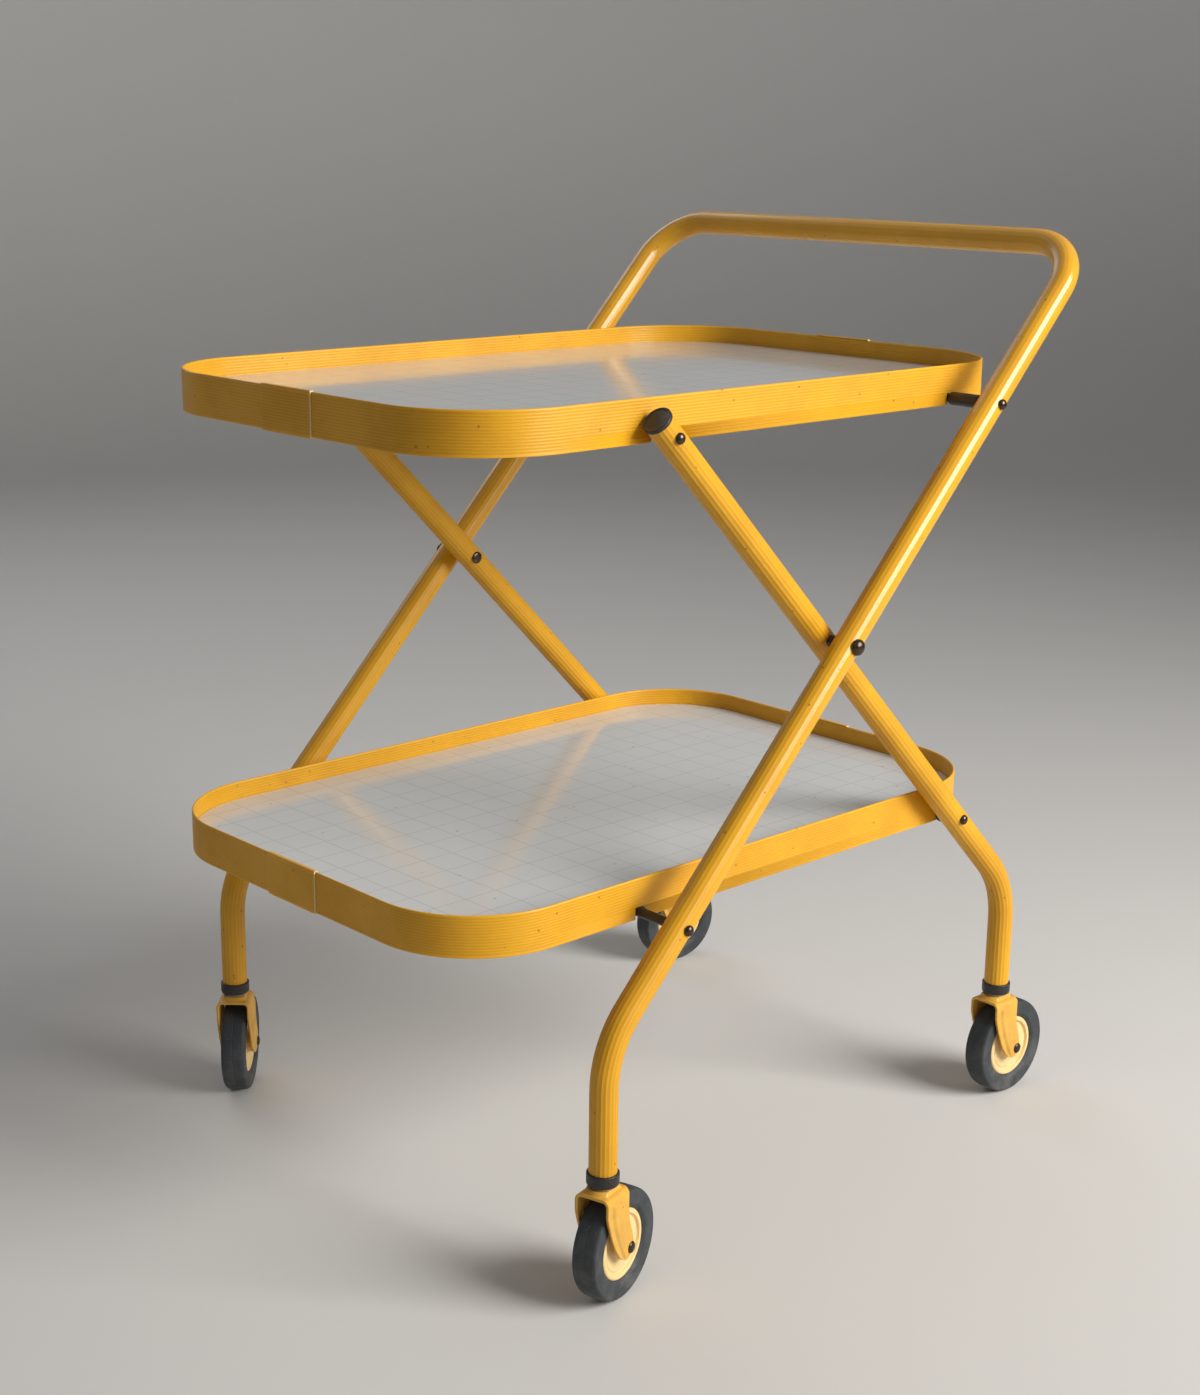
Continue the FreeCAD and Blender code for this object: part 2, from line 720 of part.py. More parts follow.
# Casters: a socket in the tube end, and a swivelling fork with its wheel
stem_radius = s.stem_diameter / 2
cheek_inside = s.wheel_width / 2 + s.wheel_side_gap
fork_half = cheek_inside + s.fork_cheek
boss_radius = s.fork_boss / 2
axle_radius = s.axle_diameter / 2
hub_radius = s.hub_diameter / 2
wheel_radius = s.wheel_diameter / 2


def caster_socket(label, foot):
    """A flanged plug that closes the tube and carries the stem."""
    bore = stem_radius + s.running_fit
    flange = s.socket_diameter / 2
    plug = bore_radius - s.slip_fit
    plug_top = tube_end + s.socket_plug
    body = revolved(label, [(bore, socket_base), (flange, socket_base), (flange, tube_end),
                            (plug, tube_end), (plug, plug_top), (bore, plug_top)])
    place(body, foot)


def caster_stem(label, foot, turn):
    """The swivel pin, riveted under the fork's plate, with its bearing race."""
    head = s.stem_head / 2
    race = s.race_diameter / 2
    race_top = neck_top + s.race_height
    head_base = fork_roof - s.stem_head_height
    top = tube_end + s.socket_plug - s.stem_end_gap
    body = revolved(label, [(ZERO, head_base), (head, head_base), (head, fork_roof), (stem_radius, fork_roof),
                            (stem_radius, neck_top), (race, neck_top), (race, race_top),
                            (stem_radius, race_top), (stem_radius, top), (ZERO, top)])
    place(body, foot, turn)


def caster_fork(label, foot, turn):
    """A pressed fork: a plate with a raised neck, and two cheeks that slant back to round tips at the axle."""
    body = new_body(label)
    side_view = new_sketch(body, "XZ_Plane", label + "_side")
    skirt = fork_top - s.fork_skirt
    tip = s.caster_trail - s.fork_tip_shift
    polygon(side_view, [(-s.fork_front, fork_top), (s.fork_back, fork_top),
                        (tip + boss_radius, axle_height), (tip - boss_radius, axle_height),
                        (-s.fork_front, skirt)])
    pad(body, side_view, label + "_block", fork_half * 2, "Symmetric")
    boss = new_sketch(body, "XZ_Plane", label + "_boss")
    circle(boss, tip, axle_height, boss_radius)
    pad(body, boss, label + "_boss_pad", fork_half * 2, "Symmetric")
    neck = new_sketch(body, "XY_Plane", label + "_neck", fork_top)
    circle(neck, ZERO, ZERO, s.neck_diameter / 2)
    pad(body, neck, label + "_neck_pad", s.fork_neck)
    throat = new_sketch(body, "YZ_Plane", label + "_throat")
    polygon(throat, [(-cheek_inside, ZERO), (cheek_inside, ZERO), (cheek_inside, fork_roof),
                     (-cheek_inside, fork_roof)])
    pocket(body, throat, label + "_throat_cut")
    axle_hole = new_sketch(body, "XZ_Plane", label + "_axle_hole")
    circle(axle_hole, s.caster_trail, axle_height, axle_radius + s.slip_fit)
    pocket(body, axle_hole, label + "_axle_cut")
    stem_hole = new_sketch(body, "XY_Plane", label + "_stem_hole")
    circle(stem_hole, ZERO, ZERO, stem_radius + s.slip_fit)
    pocket(body, stem_hole, label + "_stem_cut")
    place(body, foot, turn)
    return keep(body, label)


def caster_axle(label, centre, way):
    """A domed rivet through both cheeks."""
    back = [share * -1 for share in way]
    left_point = moved(centre, back, fork_half)
    right_point = moved(centre, way, fork_half)
    pin = rivet(label + "_pin", left_point, back, s.axle_head, s.axle_dome, s.axle_diameter, fork_half * 2)
    tail = dome(label + "_tail", right_point, way, s.axle_head, s.axle_dome)
    keep(fused(label, [pin, tail]), label)


def caster_hub(label, centre, turn):
    """The wheel centre: a boss, a thin web and a raised ring."""
    bore = axle_radius + s.running_fit
    boss = s.hub_boss / 2
    boss_end = cheek_inside - s.hub_side_gap
    web = s.hub_web / 2
    ring_inside = hub_radius - s.hub_rim_depth
    ring_end = s.hub_rim_width / 2
    body = revolved(label, [(bore, -boss_end), (boss, -boss_end), (boss, -web), (ring_inside, -web),
                            (ring_inside, -ring_end), (hub_radius, -ring_end), (hub_radius, ring_end),
                            (ring_inside, ring_end), (ring_inside, web), (boss, web), (boss, boss_end),
                            (bore, boss_end)])
    place(body, centre, turn)


def caster_tyre(label, centre, turn):
    """A solid tyre with a flat tread and sloping shoulders."""
    ring_end = s.hub_rim_width / 2
    side = s.wheel_width / 2
    tread = s.tread_width / 2
    shoulder = wheel_radius - s.shoulder_drop
    rise = hub_radius + s.sidewall_rise
    body = revolved(label, [(hub_radius, -ring_end), (rise, -side), (shoulder, -side), (wheel_radius, -tread),
                            (wheel_radius, tread), (shoulder, side), (rise, side), (hub_radius, ring_end)])
    place(body, centre, turn)


CASTERS = (
    ("front_left", front_foot_x, -frame_plane, s.front_left_angle),
    ("front_right", front_foot_x, frame_plane, s.front_right_angle),
    ("rear_left", rear_foot_x, -rear_plane, s.rear_left_angle),
    ("rear_right", rear_foot_x, rear_plane, s.rear_right_angle),
)
for corner_name, x, y, angle in CASTERS:
    foot = (x, y, ZERO)
    turn = Rotation(UP, float(angle))
    caster_socket(corner_name + "_socket", foot)
    caster_stem(corner_name + "_stem", foot, turn)
    caster_fork(corner_name + "_fork", foot, turn)
    along = turned("cos", angle)
    aside = turned("sin", angle)
    centre = (x + s.caster_trail * along, y + s.caster_trail * aside, axle_height)
    axle_way = [-aside, along, ZERO]
    wheel_turn = turn.multiply(Rotation(UP, Vector(0, 1, 0)))
    caster_axle(corner_name + "_axle", centre, axle_way)
    caster_hub(corner_name + "_hub", centre, wheel_turn)
    caster_tyre(corner_name + "_tyre", centre, wheel_turn)

# Check every object, then write one file for each sub-part
doc.recompute()
for item in doc.Objects:
    if "Invalid" in item.State or "Error" in item.State:
        raise RuntimeError("%s failed" % item.Name)
for item in nodes:
    if item.Shape.isNull() or not item.Shape.isValid() or not item.Shape.Solids:
        raise RuntimeError("%s has no valid solid" % item.Label)
os.makedirs("parts", exist_ok=True)
for item in nodes:
    item.Shape.exportStep(os.path.join("parts", item.Label + ".step"))
    print(item.Label, len(item.Shape.Solids), "solids", round(item.Shape.Volume), "mm3")
print(len(nodes), "nodes")
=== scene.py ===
# %% [markdown]
# # Dressing a folding serving trolley
#
# The trolley is a working model already: bent tubes that cross and fold, two trays that hook on cross
# rods, and four swivel casters. This lesson gives it its looks. We load the working model as a fixed
# frame, read our sizes from it, and lay finer surfaces over the plain ones: fluted tube, ribbed rim,
# pressed fork and moulded wheel. Then we mix the finishes, light a plain studio and set the camera.

# %% Load the frame and keep its box
import json
import math
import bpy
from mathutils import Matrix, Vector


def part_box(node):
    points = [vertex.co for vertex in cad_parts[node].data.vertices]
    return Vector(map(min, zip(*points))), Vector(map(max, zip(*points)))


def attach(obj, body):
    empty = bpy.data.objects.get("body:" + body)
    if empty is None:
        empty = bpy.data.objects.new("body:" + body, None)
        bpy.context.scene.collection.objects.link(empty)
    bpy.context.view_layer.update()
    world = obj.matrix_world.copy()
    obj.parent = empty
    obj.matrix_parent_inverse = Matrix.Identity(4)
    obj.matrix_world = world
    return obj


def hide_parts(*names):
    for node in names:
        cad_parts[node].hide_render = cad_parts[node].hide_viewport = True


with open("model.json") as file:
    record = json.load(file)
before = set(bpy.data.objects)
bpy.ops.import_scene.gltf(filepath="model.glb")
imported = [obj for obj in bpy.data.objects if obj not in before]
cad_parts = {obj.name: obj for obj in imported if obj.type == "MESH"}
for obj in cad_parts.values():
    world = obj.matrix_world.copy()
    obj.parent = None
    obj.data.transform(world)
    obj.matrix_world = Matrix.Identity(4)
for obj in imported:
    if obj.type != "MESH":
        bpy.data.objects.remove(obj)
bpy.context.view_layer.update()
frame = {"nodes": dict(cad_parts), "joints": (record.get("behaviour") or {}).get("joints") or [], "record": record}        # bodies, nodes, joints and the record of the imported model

from types import SimpleNamespace

import bmesh
import bpy
import numpy as np
from mathutils import Matrix, Vector

MM = 0.001
print("nodes in the frame:", len(frame["nodes"]))

# %% [markdown]
# ## Grids instead of vertices
#
# Every new surface here is a grid of points: rows and columns worked out by numpy in one go. A grid can
# close on itself, as a tube does round its girth. Blender only needs the list of points and, for each
# little square, the numbers of its four corners. Where a row shrinks to one point, as at the crown of a
# rivet, the doubled points are merged, so the surface has no hole there.

# %% Grids of points and their faces
def unit(vector):
    """A vector divided by its own length."""
    vector = np.asarray(vector, float)
    return vector / np.linalg.norm(vector, axis=-1, keepdims=True)


def grid(points, close_rows=False, close_columns=False, cap_ends=False, groove=None, wear_and_highlight=None):
    """A grid of points (rows, columns, 3), how it closes on itself, and two masks on its points: how deep
    in a groove each one is, and its share of rubbing on the handle and of painted highlight on the clips."""
    groove = np.zeros(points.shape[:2]) if groove is None else groove
    wear_and_highlight = np.zeros(points.shape[:2]) if wear_and_highlight is None else wear_and_highlight
    return SimpleNamespace(points=points, rows=close_rows, columns=close_columns, caps=cap_ends,
                           masks={"groove": groove, "wear_and_highlight": wear_and_highlight})


def grid_faces(surface, first):
    """Squares between neighbouring rows and columns, and one face over each open end if asked."""
    rows, columns = surface.points.shape[:2]
    row, column = np.meshgrid(np.arange(rows if surface.rows else rows - 1),
                              np.arange(columns if surface.columns else columns - 1), indexing="ij")
    next_row = (row + 1) % rows
    next_column = (column + 1) % columns
    corners = (row * columns + column, row * columns + next_column,
               next_row * columns + next_column, next_row * columns + column)
    faces = (np.stack(corners, axis=-1).reshape(-1, 4) + first).tolist()
    if surface.caps:
        ring = np.arange(columns) + first
        faces.append(ring[::-1].tolist())
        faces.append((ring + (rows - 1) * columns).tolist())
    return faces


little_ring = grid(np.zeros((4, 3, 3)), close_rows=True, close_columns=True)
print("faces of a closed grid of 4 rows and 3 columns:", len(grid_faces(little_ring, 0)))

# %% Meshes and finished pieces
MERGE = 0.005 * MM
TINY = 0.001 * MM
SHARP = 38.0
made = []


def make_mesh(name, surfaces, sharp_degrees, closed):
    """One mesh from several grids: merged where points meet, facing out, smooth but for sharp edges."""
    starts = np.cumsum([0] + [surface.points[..., 0].size for surface in surfaces])
    points = np.concatenate([surface.points.reshape(-1, 3) for surface in surfaces])
    faces = [face for surface, first in zip(surfaces, starts) for face in grid_faces(surface, first)]
    mesh = bpy.data.meshes.new(name)
    mesh.from_pydata(points, [], faces)
    for mask in ("groove", "wear_and_highlight"):
        values = np.concatenate([surface.masks[mask].ravel() for surface in surfaces])
        mesh.attributes.new(mask, "FLOAT", "POINT").data.foreach_set("value", values)
    work = bmesh.new()
    work.from_mesh(mesh)
    bmesh.ops.remove_doubles(work, verts=work.verts, dist=MERGE)
    bmesh.ops.dissolve_degenerate(work, edges=work.edges, dist=TINY)
    if closed:
        bmesh.ops.recalc_face_normals(work, faces=work.faces)
    work.to_mesh(mesh)
    work.free()
    mesh.polygons.foreach_set("use_smooth", np.ones(len(mesh.polygons), bool))
    mesh.set_sharp_from_angle(angle=math.radians(sharp_degrees))
    return mesh


def make_piece(name, surfaces, material, body, nodes, closed=True):
    """A finished piece: its mesh at the origin, its finish, its body and the nodes that it replaces."""
    piece = bpy.data.objects.new(name, make_mesh(name, surfaces, SHARP, closed))
    bpy.context.scene.collection.objects.link(piece)
    piece.data.materials.append(material)
    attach(piece, body)
    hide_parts(*nodes)
    made.append(piece)
    return piece


print("edges stay sharp from", SHARP, "degrees")

# %% Places read from the frame
def corners_of(node):
    """Lowest and highest corner of a node of the frame, in metres."""
    low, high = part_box(node)
    return np.array(low), np.array(high)


def joint_place(name):
    """The point that a joint turns about, in metres."""
    return np.array(next(joint for joint in frame["joints"] if joint["name"] == name)["pos_m"])


print("the legs cross at, m:", joint_place("leg_fold").round(4))

# %% [markdown]
# ## Two ways to carry a profile
#
# A turned part, such as a wheel or a rivet, is a profile spun about an axis. A bent tube or a tray rim is
# a profile carried along a path. For the path we keep two directions across it at each station. In a
# bend, the point and both directions turn about one and the same axis, so the profile never twists, and
# the flutes of a tube run true through every bend, as they do when a drawn tube is bent on a former.

# %% Softened outlines and turned parts
OFF_AXIS = (0.3, 0.5, 0.8)


def rounded(corners, cut, steps=6, closed=False):
    """Softens an outline's corners: each becomes the curve (1-t)^2 start + 2t(1-t) corner + t^2 end,
    which starts and ends a cut away from the corner, or half a side where the side is short."""
    corners = np.asarray(corners, float)
    before = np.roll(corners, 1, axis=0)
    after = np.roll(corners, -1, axis=0)
    cut = np.broadcast_to(np.asarray(cut, float), len(corners))
    near = np.minimum(cut, np.linalg.norm(before - corners, axis=1) / 2)[:, None]
    far = np.minimum(cut, np.linalg.norm(after - corners, axis=1) / 2)[:, None]
    start = (corners + unit(before - corners) * near)[:, None]
    end = (corners + unit(after - corners) * far)[:, None]
    t = np.linspace(0.0, 1.0, steps)[None, :, None]
    curve = (1 - t) ** 2 * start + 2 * t * (1 - t) * corners[:, None] + t ** 2 * end
    if closed:
        return curve.reshape(-1, 2)
    return np.concatenate([corners[:1], curve[1:-1].reshape(-1, 2), corners[-1:]])


def turned(profile, point, axis, steps=72, close_profile=False):
    """A profile of (radius, distance along the axis) spun about the axis through a point:
    point + radius (cos a side + sin a front) + distance axis, for a full turn of the angle a."""
    profile = np.asarray(profile, float)
    axis = unit(axis)
    side = unit(np.cross(axis, OFF_AXIS))
    front = np.cross(axis, side)
    angle = np.linspace(0.0, 2 * math.pi, steps, endpoint=False)[:, None]
    ring = np.cos(angle) * side + np.sin(angle) * front
    points = np.asarray(point) + profile[:, None, :1] * ring[None] + profile[:, None, 1:] * axis
    return grid(points, close_rows=close_profile, close_columns=True)


print("points of a softened triangle:", len(rounded([(0, 0), (1, 0), (0, 1)], 0.2, closed=True)))

# %% Bent paths and carried profiles
def spun(vector, axis, angles):
    """A vector v turned about a unit axis k by many angles a:
    v cos a + (k x v) sin a + k (k . v)(1 - cos a)."""
    cosine = np.cos(angles)[:, None]
    sine = np.sin(angles)[:, None]
    along = axis * (axis @ vector)
    return vector * cosine + np.cross(axis, vector) * sine + along * (1 - cosine)


def bent_path(corners, radii, across, steps=20):
    """Stations on straight runs joined by round bends, each with a point and two directions across.
    A bend of radius r starts r tan(turn / 2) before its corner and turns everything about one axis."""
    corners = np.asarray(corners, float)
    ways = unit(corners[1:] - corners[:-1])
    across = np.asarray(across, float)
    second = np.cross(ways[0], across)
    stations = [(corners[:1], across[None], second[None])]
    for corner, before, after, radius in zip(corners[1:-1], ways[:-1], ways[1:], radii):
        axis = unit(np.cross(before, after))
        turn = math.acos(np.clip(before @ after, -1.0, 1.0))
        start = corner - before * radius * math.tan(turn / 2)
        centre = start + np.cross(axis, before) * radius
        angles = np.linspace(0.0, turn, steps)
        stations.append((centre + spun(start - centre, axis, angles), spun(across, axis, angles),
                         spun(second, axis, angles)))
        across = stations[-1][1][-1]
        second = stations[-1][2][-1]
    stations.append((corners[-1:], across[None], second[None]))
    return [np.concatenate(parts) for parts in zip(*stations)]


def carried(profile, path):
    """A profile of (x, y), one for all stations or one for each, carried along a path:
    station + x first direction + y second direction."""
    points, first, second = path
    return points[:, None] + profile[..., :1] * first[:, None] + profile[..., 1:] * second[:, None]


corner_path = bent_path([(0, 0, 0), (1, 0, 0), (1, 1, 0)], [0.2], (0, 0, 1))
print("stations of a path with one bend:", len(corner_path[0]))

# %% [markdown]
# ## Shared effects as node groups
#
# Old lacquer, plastic and rubber age in like ways: the colour drifts a little, the gloss dulls in
# patches, grooves are made darker, and small specks stick. On the pressed forks that darker groove is
# painted shade.
# We build each of these once as a node group with named sockets, and place it in the materials with
# values of their own. All patterns are in Object coordinates, in metres, so a scale of 400 means features
# of about 2.5 mm.

# %% Small helpers for nodes
def add_node(tree, kind, values=None, **settings):
    """Adds a node, sets its options and the plain values of its inputs."""
    node = tree.nodes.new(kind)
    for name, value in settings.items():
        setattr(node, name, value)
    for name, value in (values or {}).items():
        node.inputs[name].default_value = value
    return node


def maths(tree, operation, first, second=None, clamp=False):
    """A Math node fed by sockets or plain numbers. Returns its output."""
    node = add_node(tree, "ShaderNodeMath", operation=operation, use_clamp=clamp)
    for socket, value in zip(node.inputs, (first, second)):
        if isinstance(value, (int, float)):
            socket.default_value = value
        elif value is not None:
            tree.links.new(value, socket)
    return node.outputs[0]


def mixed(tree, factor, first, second, blend="MIX"):
    """A colour Mix node fed by sockets or plain colours. Returns its output."""
    node = add_node(tree, "ShaderNodeMix", data_type="RGBA", blend_type=blend)
    for index, value in ((0, factor), (6, first), (7, second)):
        if isinstance(value, bpy.types.NodeSocket):
            tree.links.new(value, node.inputs[index])
        else:
            node.inputs[index].default_value = value
    return node.outputs[2]


def ranged(tree, value, low, high, to_low=0.0, to_high=1.0):
    """A smooth Map Range node from one span of values to another. Returns its output."""
    node = add_node(tree, "ShaderNodeMapRange", {"From Min": low, "From Max": high, "To Min": to_low,
                                                 "To Max": to_high}, interpolation_type="SMOOTHSTEP")
    tree.links.new(value, node.inputs["Value"])
    return node.outputs["Result"]


print("four kinds of node are now short to write")

# %% Groups and Object coordinates
def new_group(name, inputs, outputs):
    """A shader node group with its sockets, and its two end nodes."""
    group = bpy.data.node_groups.new(name, "ShaderNodeTree")
    for title, kind, value in inputs:
        socket = group.interface.new_socket(title, in_out="INPUT", socket_type="NodeSocket" + kind)
        socket.default_value = value
    for title, kind in outputs:
        group.interface.new_socket(title, in_out="OUTPUT", socket_type="NodeSocket" + kind)
    return group, group.nodes.new("NodeGroupInput"), group.nodes.new("NodeGroupOutput")


def place_parts(tree):
    """The place of a point in Object coordinates, split into X, Y and Z, after the place itself."""
    place = add_node(tree, "ShaderNodeTexCoord").outputs["Object"]
    split = add_node(tree, "ShaderNodeSeparateXYZ")
    tree.links.new(place, split.inputs[0])
    return place, split.outputs


print("ready to build groups")

# %% Aged finish: colour drift, patchy gloss, darker grooves and specks
PATCH_SPAN = (0.35, 0.68)
SPECK_SPAN = (0.16, 0.3)
SPECK_DIRT = 0.75
DARKENING_LEAST = 0.6
DARKENING_PATCHY = 0.5
FINE_RELIEF = 0.6
SPECK_RELIEF = 0.5
aged, aged_in, aged_out = new_group(
    "aged_finish",
    [("Colour", "Color", (0.8, 0.8, 0.8, 1.0)), ("Deep Colour", "Color", (0.5, 0.5, 0.5, 1.0)),
     ("Grime Colour", "Color", (0.1, 0.08, 0.05, 1.0)), ("Darkening", "Float", 0.0),
     ("Patch Scale", "Float", 14.0), ("Drift", "Float", 0.5), ("Speck Scale", "Float", 260.0),
     ("Specks", "Float", 0.1), ("Gloss Rough", "Float", 0.3), ("Dull Rough", "Float", 0.5)],
    [("Colour", "Color"), ("Roughness", "Float"), ("Height", "Float")])
place = add_node(aged, "ShaderNodeTexCoord").outputs["Object"]
patches = add_node(aged, "ShaderNodeTexNoise", {"Detail": 5.0, "Roughness": 0.6})
fine = add_node(aged, "ShaderNodeTexNoise", {"Scale": 900.0, "Detail": 2.0})
specks = add_node(aged, "ShaderNodeTexVoronoi", {"Randomness": 1.0})
aged.links.new(place, patches.inputs["Vector"])
aged.links.new(place, fine.inputs["Vector"])
aged.links.new(place, specks.inputs["Vector"])
aged.links.new(aged_in.outputs["Patch Scale"], patches.inputs["Scale"])
aged.links.new(aged_in.outputs["Speck Scale"], specks.inputs["Scale"])
patch = ranged(aged, patches.outputs[0], *PATCH_SPAN)
chance = add_node(aged, "ShaderNodeSeparateColor")
aged.links.new(specks.outputs["Color"], chance.inputs["Color"])
picked = maths(aged, "LESS_THAN", chance.outputs[0], aged_in.outputs["Specks"])
speck = maths(aged, "MULTIPLY", picked, ranged(aged, specks.outputs["Distance"], *SPECK_SPAN, 1.0, 0.0))
drifted = mixed(aged, maths(aged, "MULTIPLY", patch, aged_in.outputs["Drift"]),
                aged_in.outputs["Colour"], aged_in.outputs["Deep Colour"])
# Darkening by the groove mask, in patches: darker flute and rib hollows, and painted shade on the forks'
# pressed steps.
uneven = maths(aged, "MULTIPLY_ADD", patch, DARKENING_PATCHY)
uneven.node.inputs[2].default_value = DARKENING_LEAST
dirt_and_shade = maths(aged, "MULTIPLY", aged_in.outputs["Darkening"], uneven)
dirt_and_shade = maths(aged, "MAXIMUM", dirt_and_shade, maths(aged, "MULTIPLY", speck, SPECK_DIRT), clamp=True)
aged.links.new(mixed(aged, dirt_and_shade, drifted, aged_in.outputs["Grime Colour"]), aged_out.inputs["Colour"])
span = maths(aged, "SUBTRACT", aged_in.outputs["Dull Rough"], aged_in.outputs["Gloss Rough"])
wear_and_sheen = maths(aged, "ADD", maths(aged, "MULTIPLY", span, maths(aged, "MAXIMUM", patch, dirt_and_shade)),
             aged_in.outputs["Gloss Rough"])
aged.links.new(wear_and_sheen, aged_out.inputs["Roughness"])
aged.links.new(maths(aged, "ADD", maths(aged, "MULTIPLY", fine.outputs[0], FINE_RELIEF),
                     maths(aged, "MULTIPLY", speck, SPECK_RELIEF)), aged_out.inputs["Height"])
print("group", aged.name, "has", len(aged.nodes), "nodes")

# %% Dust that gathers near the floor
CLOUD_SPAN = (0.38, 0.7)
dusty, dusty_in, dusty_out = new_group(
    "floor_dust", [("Reach", "Float", 0.09), ("Amount", "Float", 0.5)], [("Mask", "Float")])
place, parts = place_parts(dusty)
cloud = add_node(dusty, "ShaderNodeTexNoise", {"Scale": 55.0, "Detail": 6.0, "Roughness": 0.65})
dusty.links.new(place, cloud.inputs["Vector"])
height = maths(dusty, "DIVIDE", parts["Z"], dusty_in.outputs["Reach"], clamp=True)
low_down = maths(dusty, "SUBTRACT", 1.0, height)
clumps = ranged(dusty, cloud.outputs[0], *CLOUD_SPAN)
thick = maths(dusty, "MULTIPLY", clumps, dusty_in.outputs["Amount"])
dusty.links.new(maths(dusty, "MULTIPLY", thick, low_down, clamp=True), dusty_out.inputs["Mask"])
print("group", dusty.name, "has", len(dusty.nodes), "nodes")

# %% Thin ruled lines, as printed on the laminate
LINE_SPAN = (0.2, 0.6)
ruled, ruled_in, ruled_out = new_group(
    "ruled_grid", [("Pitch", "Float", 0.027), ("Line Width", "Float", 0.001)], [("Mask", "Float")])
parts = place_parts(ruled)[1]
line_masks = []
for axis in ("X", "Y"):
    turns = maths(ruled, "FRACT", maths(ruled, "DIVIDE", parts[axis], ruled_in.outputs["Pitch"]))
    off_centre = maths(ruled, "ABSOLUTE", maths(ruled, "SUBTRACT", turns, 0.5))
    off_line = maths(ruled, "SUBTRACT", 0.5, off_centre)
    distance = maths(ruled, "MULTIPLY", off_line, ruled_in.outputs["Pitch"])
    share = maths(ruled, "DIVIDE", distance, ruled_in.outputs["Line Width"])
    line_masks.append(ranged(ruled, share, *LINE_SPAN, 1.0, 0.0))
ruled.links.new(maths(ruled, "MAXIMUM", *line_masks), ruled_out.inputs["Mask"])
print("group", ruled.name, "has", len(ruled.nodes), "nodes")

# %% [markdown]
# ## The finishes
#
# The frame is aluminium under a warm yellow lacquer: satin, a little deeper in patches, darker in the
# hollows of the flutes and of the rims' ribs. The near end of each rim clip is painted paler, a painted
# highlight. The casters have the same yellow as enamel on steel, with painted shade on the slope of each
# fork's pressed step. Hubs are cream plastic, tyres dusty rubber, and the small fittings black plastic or
# dark metal. The shader itself stays in the material, with its constant values set on its own sockets;
# the group only feeds what varies.

# %% A material around the aged finish
RELIEF_DEPTH = 0.4 * MM
GREY_DUST = (0.30, 0.28, 0.25, 1.0)


def finish(name, colour, deep, dirt_and_shade_colour, rough, drift=0.5, patch=14.0, specks=0.08, speck_scale=260.0,
           bump=0.02, groove_darkening=0.0, highlight_colour=None, polish=0.0, worn_coat=0.0, dust=0.0,
           dust_colour=GREY_DUST, **sockets):
    """A Principled material whose colour, roughness and bump come from the aged finish. The mask of
    rubbing and painted highlight mixes in the highlight colour, a painted highlight, takes away polish
    times the mask of the roughness, and adds its share of clear coat. Dust lies over all of it."""
    material = bpy.data.materials.new(name)
    material.use_nodes = True
    tree = material.node_tree
    shader = tree.nodes["Principled BSDF"]
    for title, value in sockets.items():
        shader.inputs[title.replace("_", " ")].default_value = value
    age = add_node(tree, "ShaderNodeGroup", node_tree=aged)
    for title, value in (("Colour", colour), ("Deep Colour", deep), ("Grime Colour", dirt_and_shade_colour),
                         ("Patch Scale", patch), ("Drift", drift), ("Specks", specks),
                         ("Speck Scale", speck_scale), ("Gloss Rough", rough[0]),
                         ("Dull Rough", rough[1])):
        age.inputs[title].default_value = value
    groove = add_node(tree, "ShaderNodeAttribute", attribute_name="groove")
    # The groove mask darkens the colour; on a fork's pressed step that darkening is painted shade.
    tree.links.new(maths(tree, "MULTIPLY", groove.outputs["Fac"], groove_darkening), age.inputs["Darkening"])
    skin = age.outputs["Colour"]
    dull = age.outputs["Roughness"]
    wear_and_sheen = add_node(tree, "ShaderNodeAttribute", attribute_name="wear_and_highlight").outputs["Fac"]
    dull = maths(tree, "SUBTRACT", dull, maths(tree, "MULTIPLY", wear_and_sheen, polish))
    if worn_coat:
        tree.links.new(maths(tree, "MULTIPLY", wear_and_sheen, worn_coat), shader.inputs["Coat Weight"])
    if highlight_colour:
        skin = mixed(tree, wear_and_sheen, skin, highlight_colour)
    if dust:
        veil = add_node(tree, "ShaderNodeGroup", {"Amount": dust}, node_tree=dusty)
        skin = mixed(tree, veil.outputs["Mask"], skin, dust_colour)
        dull = maths(tree, "MAXIMUM", dull, veil.outputs["Mask"])
    tree.links.new(skin, shader.inputs["Base Color"])
    tree.links.new(dull, shader.inputs["Roughness"])
    relief = add_node(tree, "ShaderNodeBump", {"Strength": bump, "Distance": RELIEF_DEPTH})
    tree.links.new(age.outputs["Height"], relief.inputs["Height"])
    tree.links.new(relief.outputs["Normal"], shader.inputs["Normal"])
    return material


print("relief of the aged finish, mm:", round(RELIEF_DEPTH / MM, 2))

# %% Lacquer and enamel
YELLOW = (0.83, 0.42, 0.016, 1.0)
DEEP_YELLOW = (0.72, 0.33, 0.010, 1.0)
BROWN_GRIME = (0.24, 0.11, 0.008, 1.0)
tube_lacquer = finish("tube_lacquer", YELLOW, DEEP_YELLOW, BROWN_GRIME, (0.37, 0.50), specks=0.03,
                      groove_darkening=0.24, polish=0.3, worn_coat=0.6, Specular_IOR_Level=0.4,
                      Coat_Roughness=0.12)
# The pale colour of the rim lacquer is a painted highlight on the near ends of the clips.
rim_lacquer = finish("rim_lacquer", YELLOW, DEEP_YELLOW, BROWN_GRIME, (0.36, 0.52), specks=0.022,
                     groove_darkening=0.2, highlight_colour=(0.88, 0.70, 0.36, 1.0), Specular_IOR_Level=0.35,
                     Coat_Weight=0.06, Coat_Roughness=0.3)
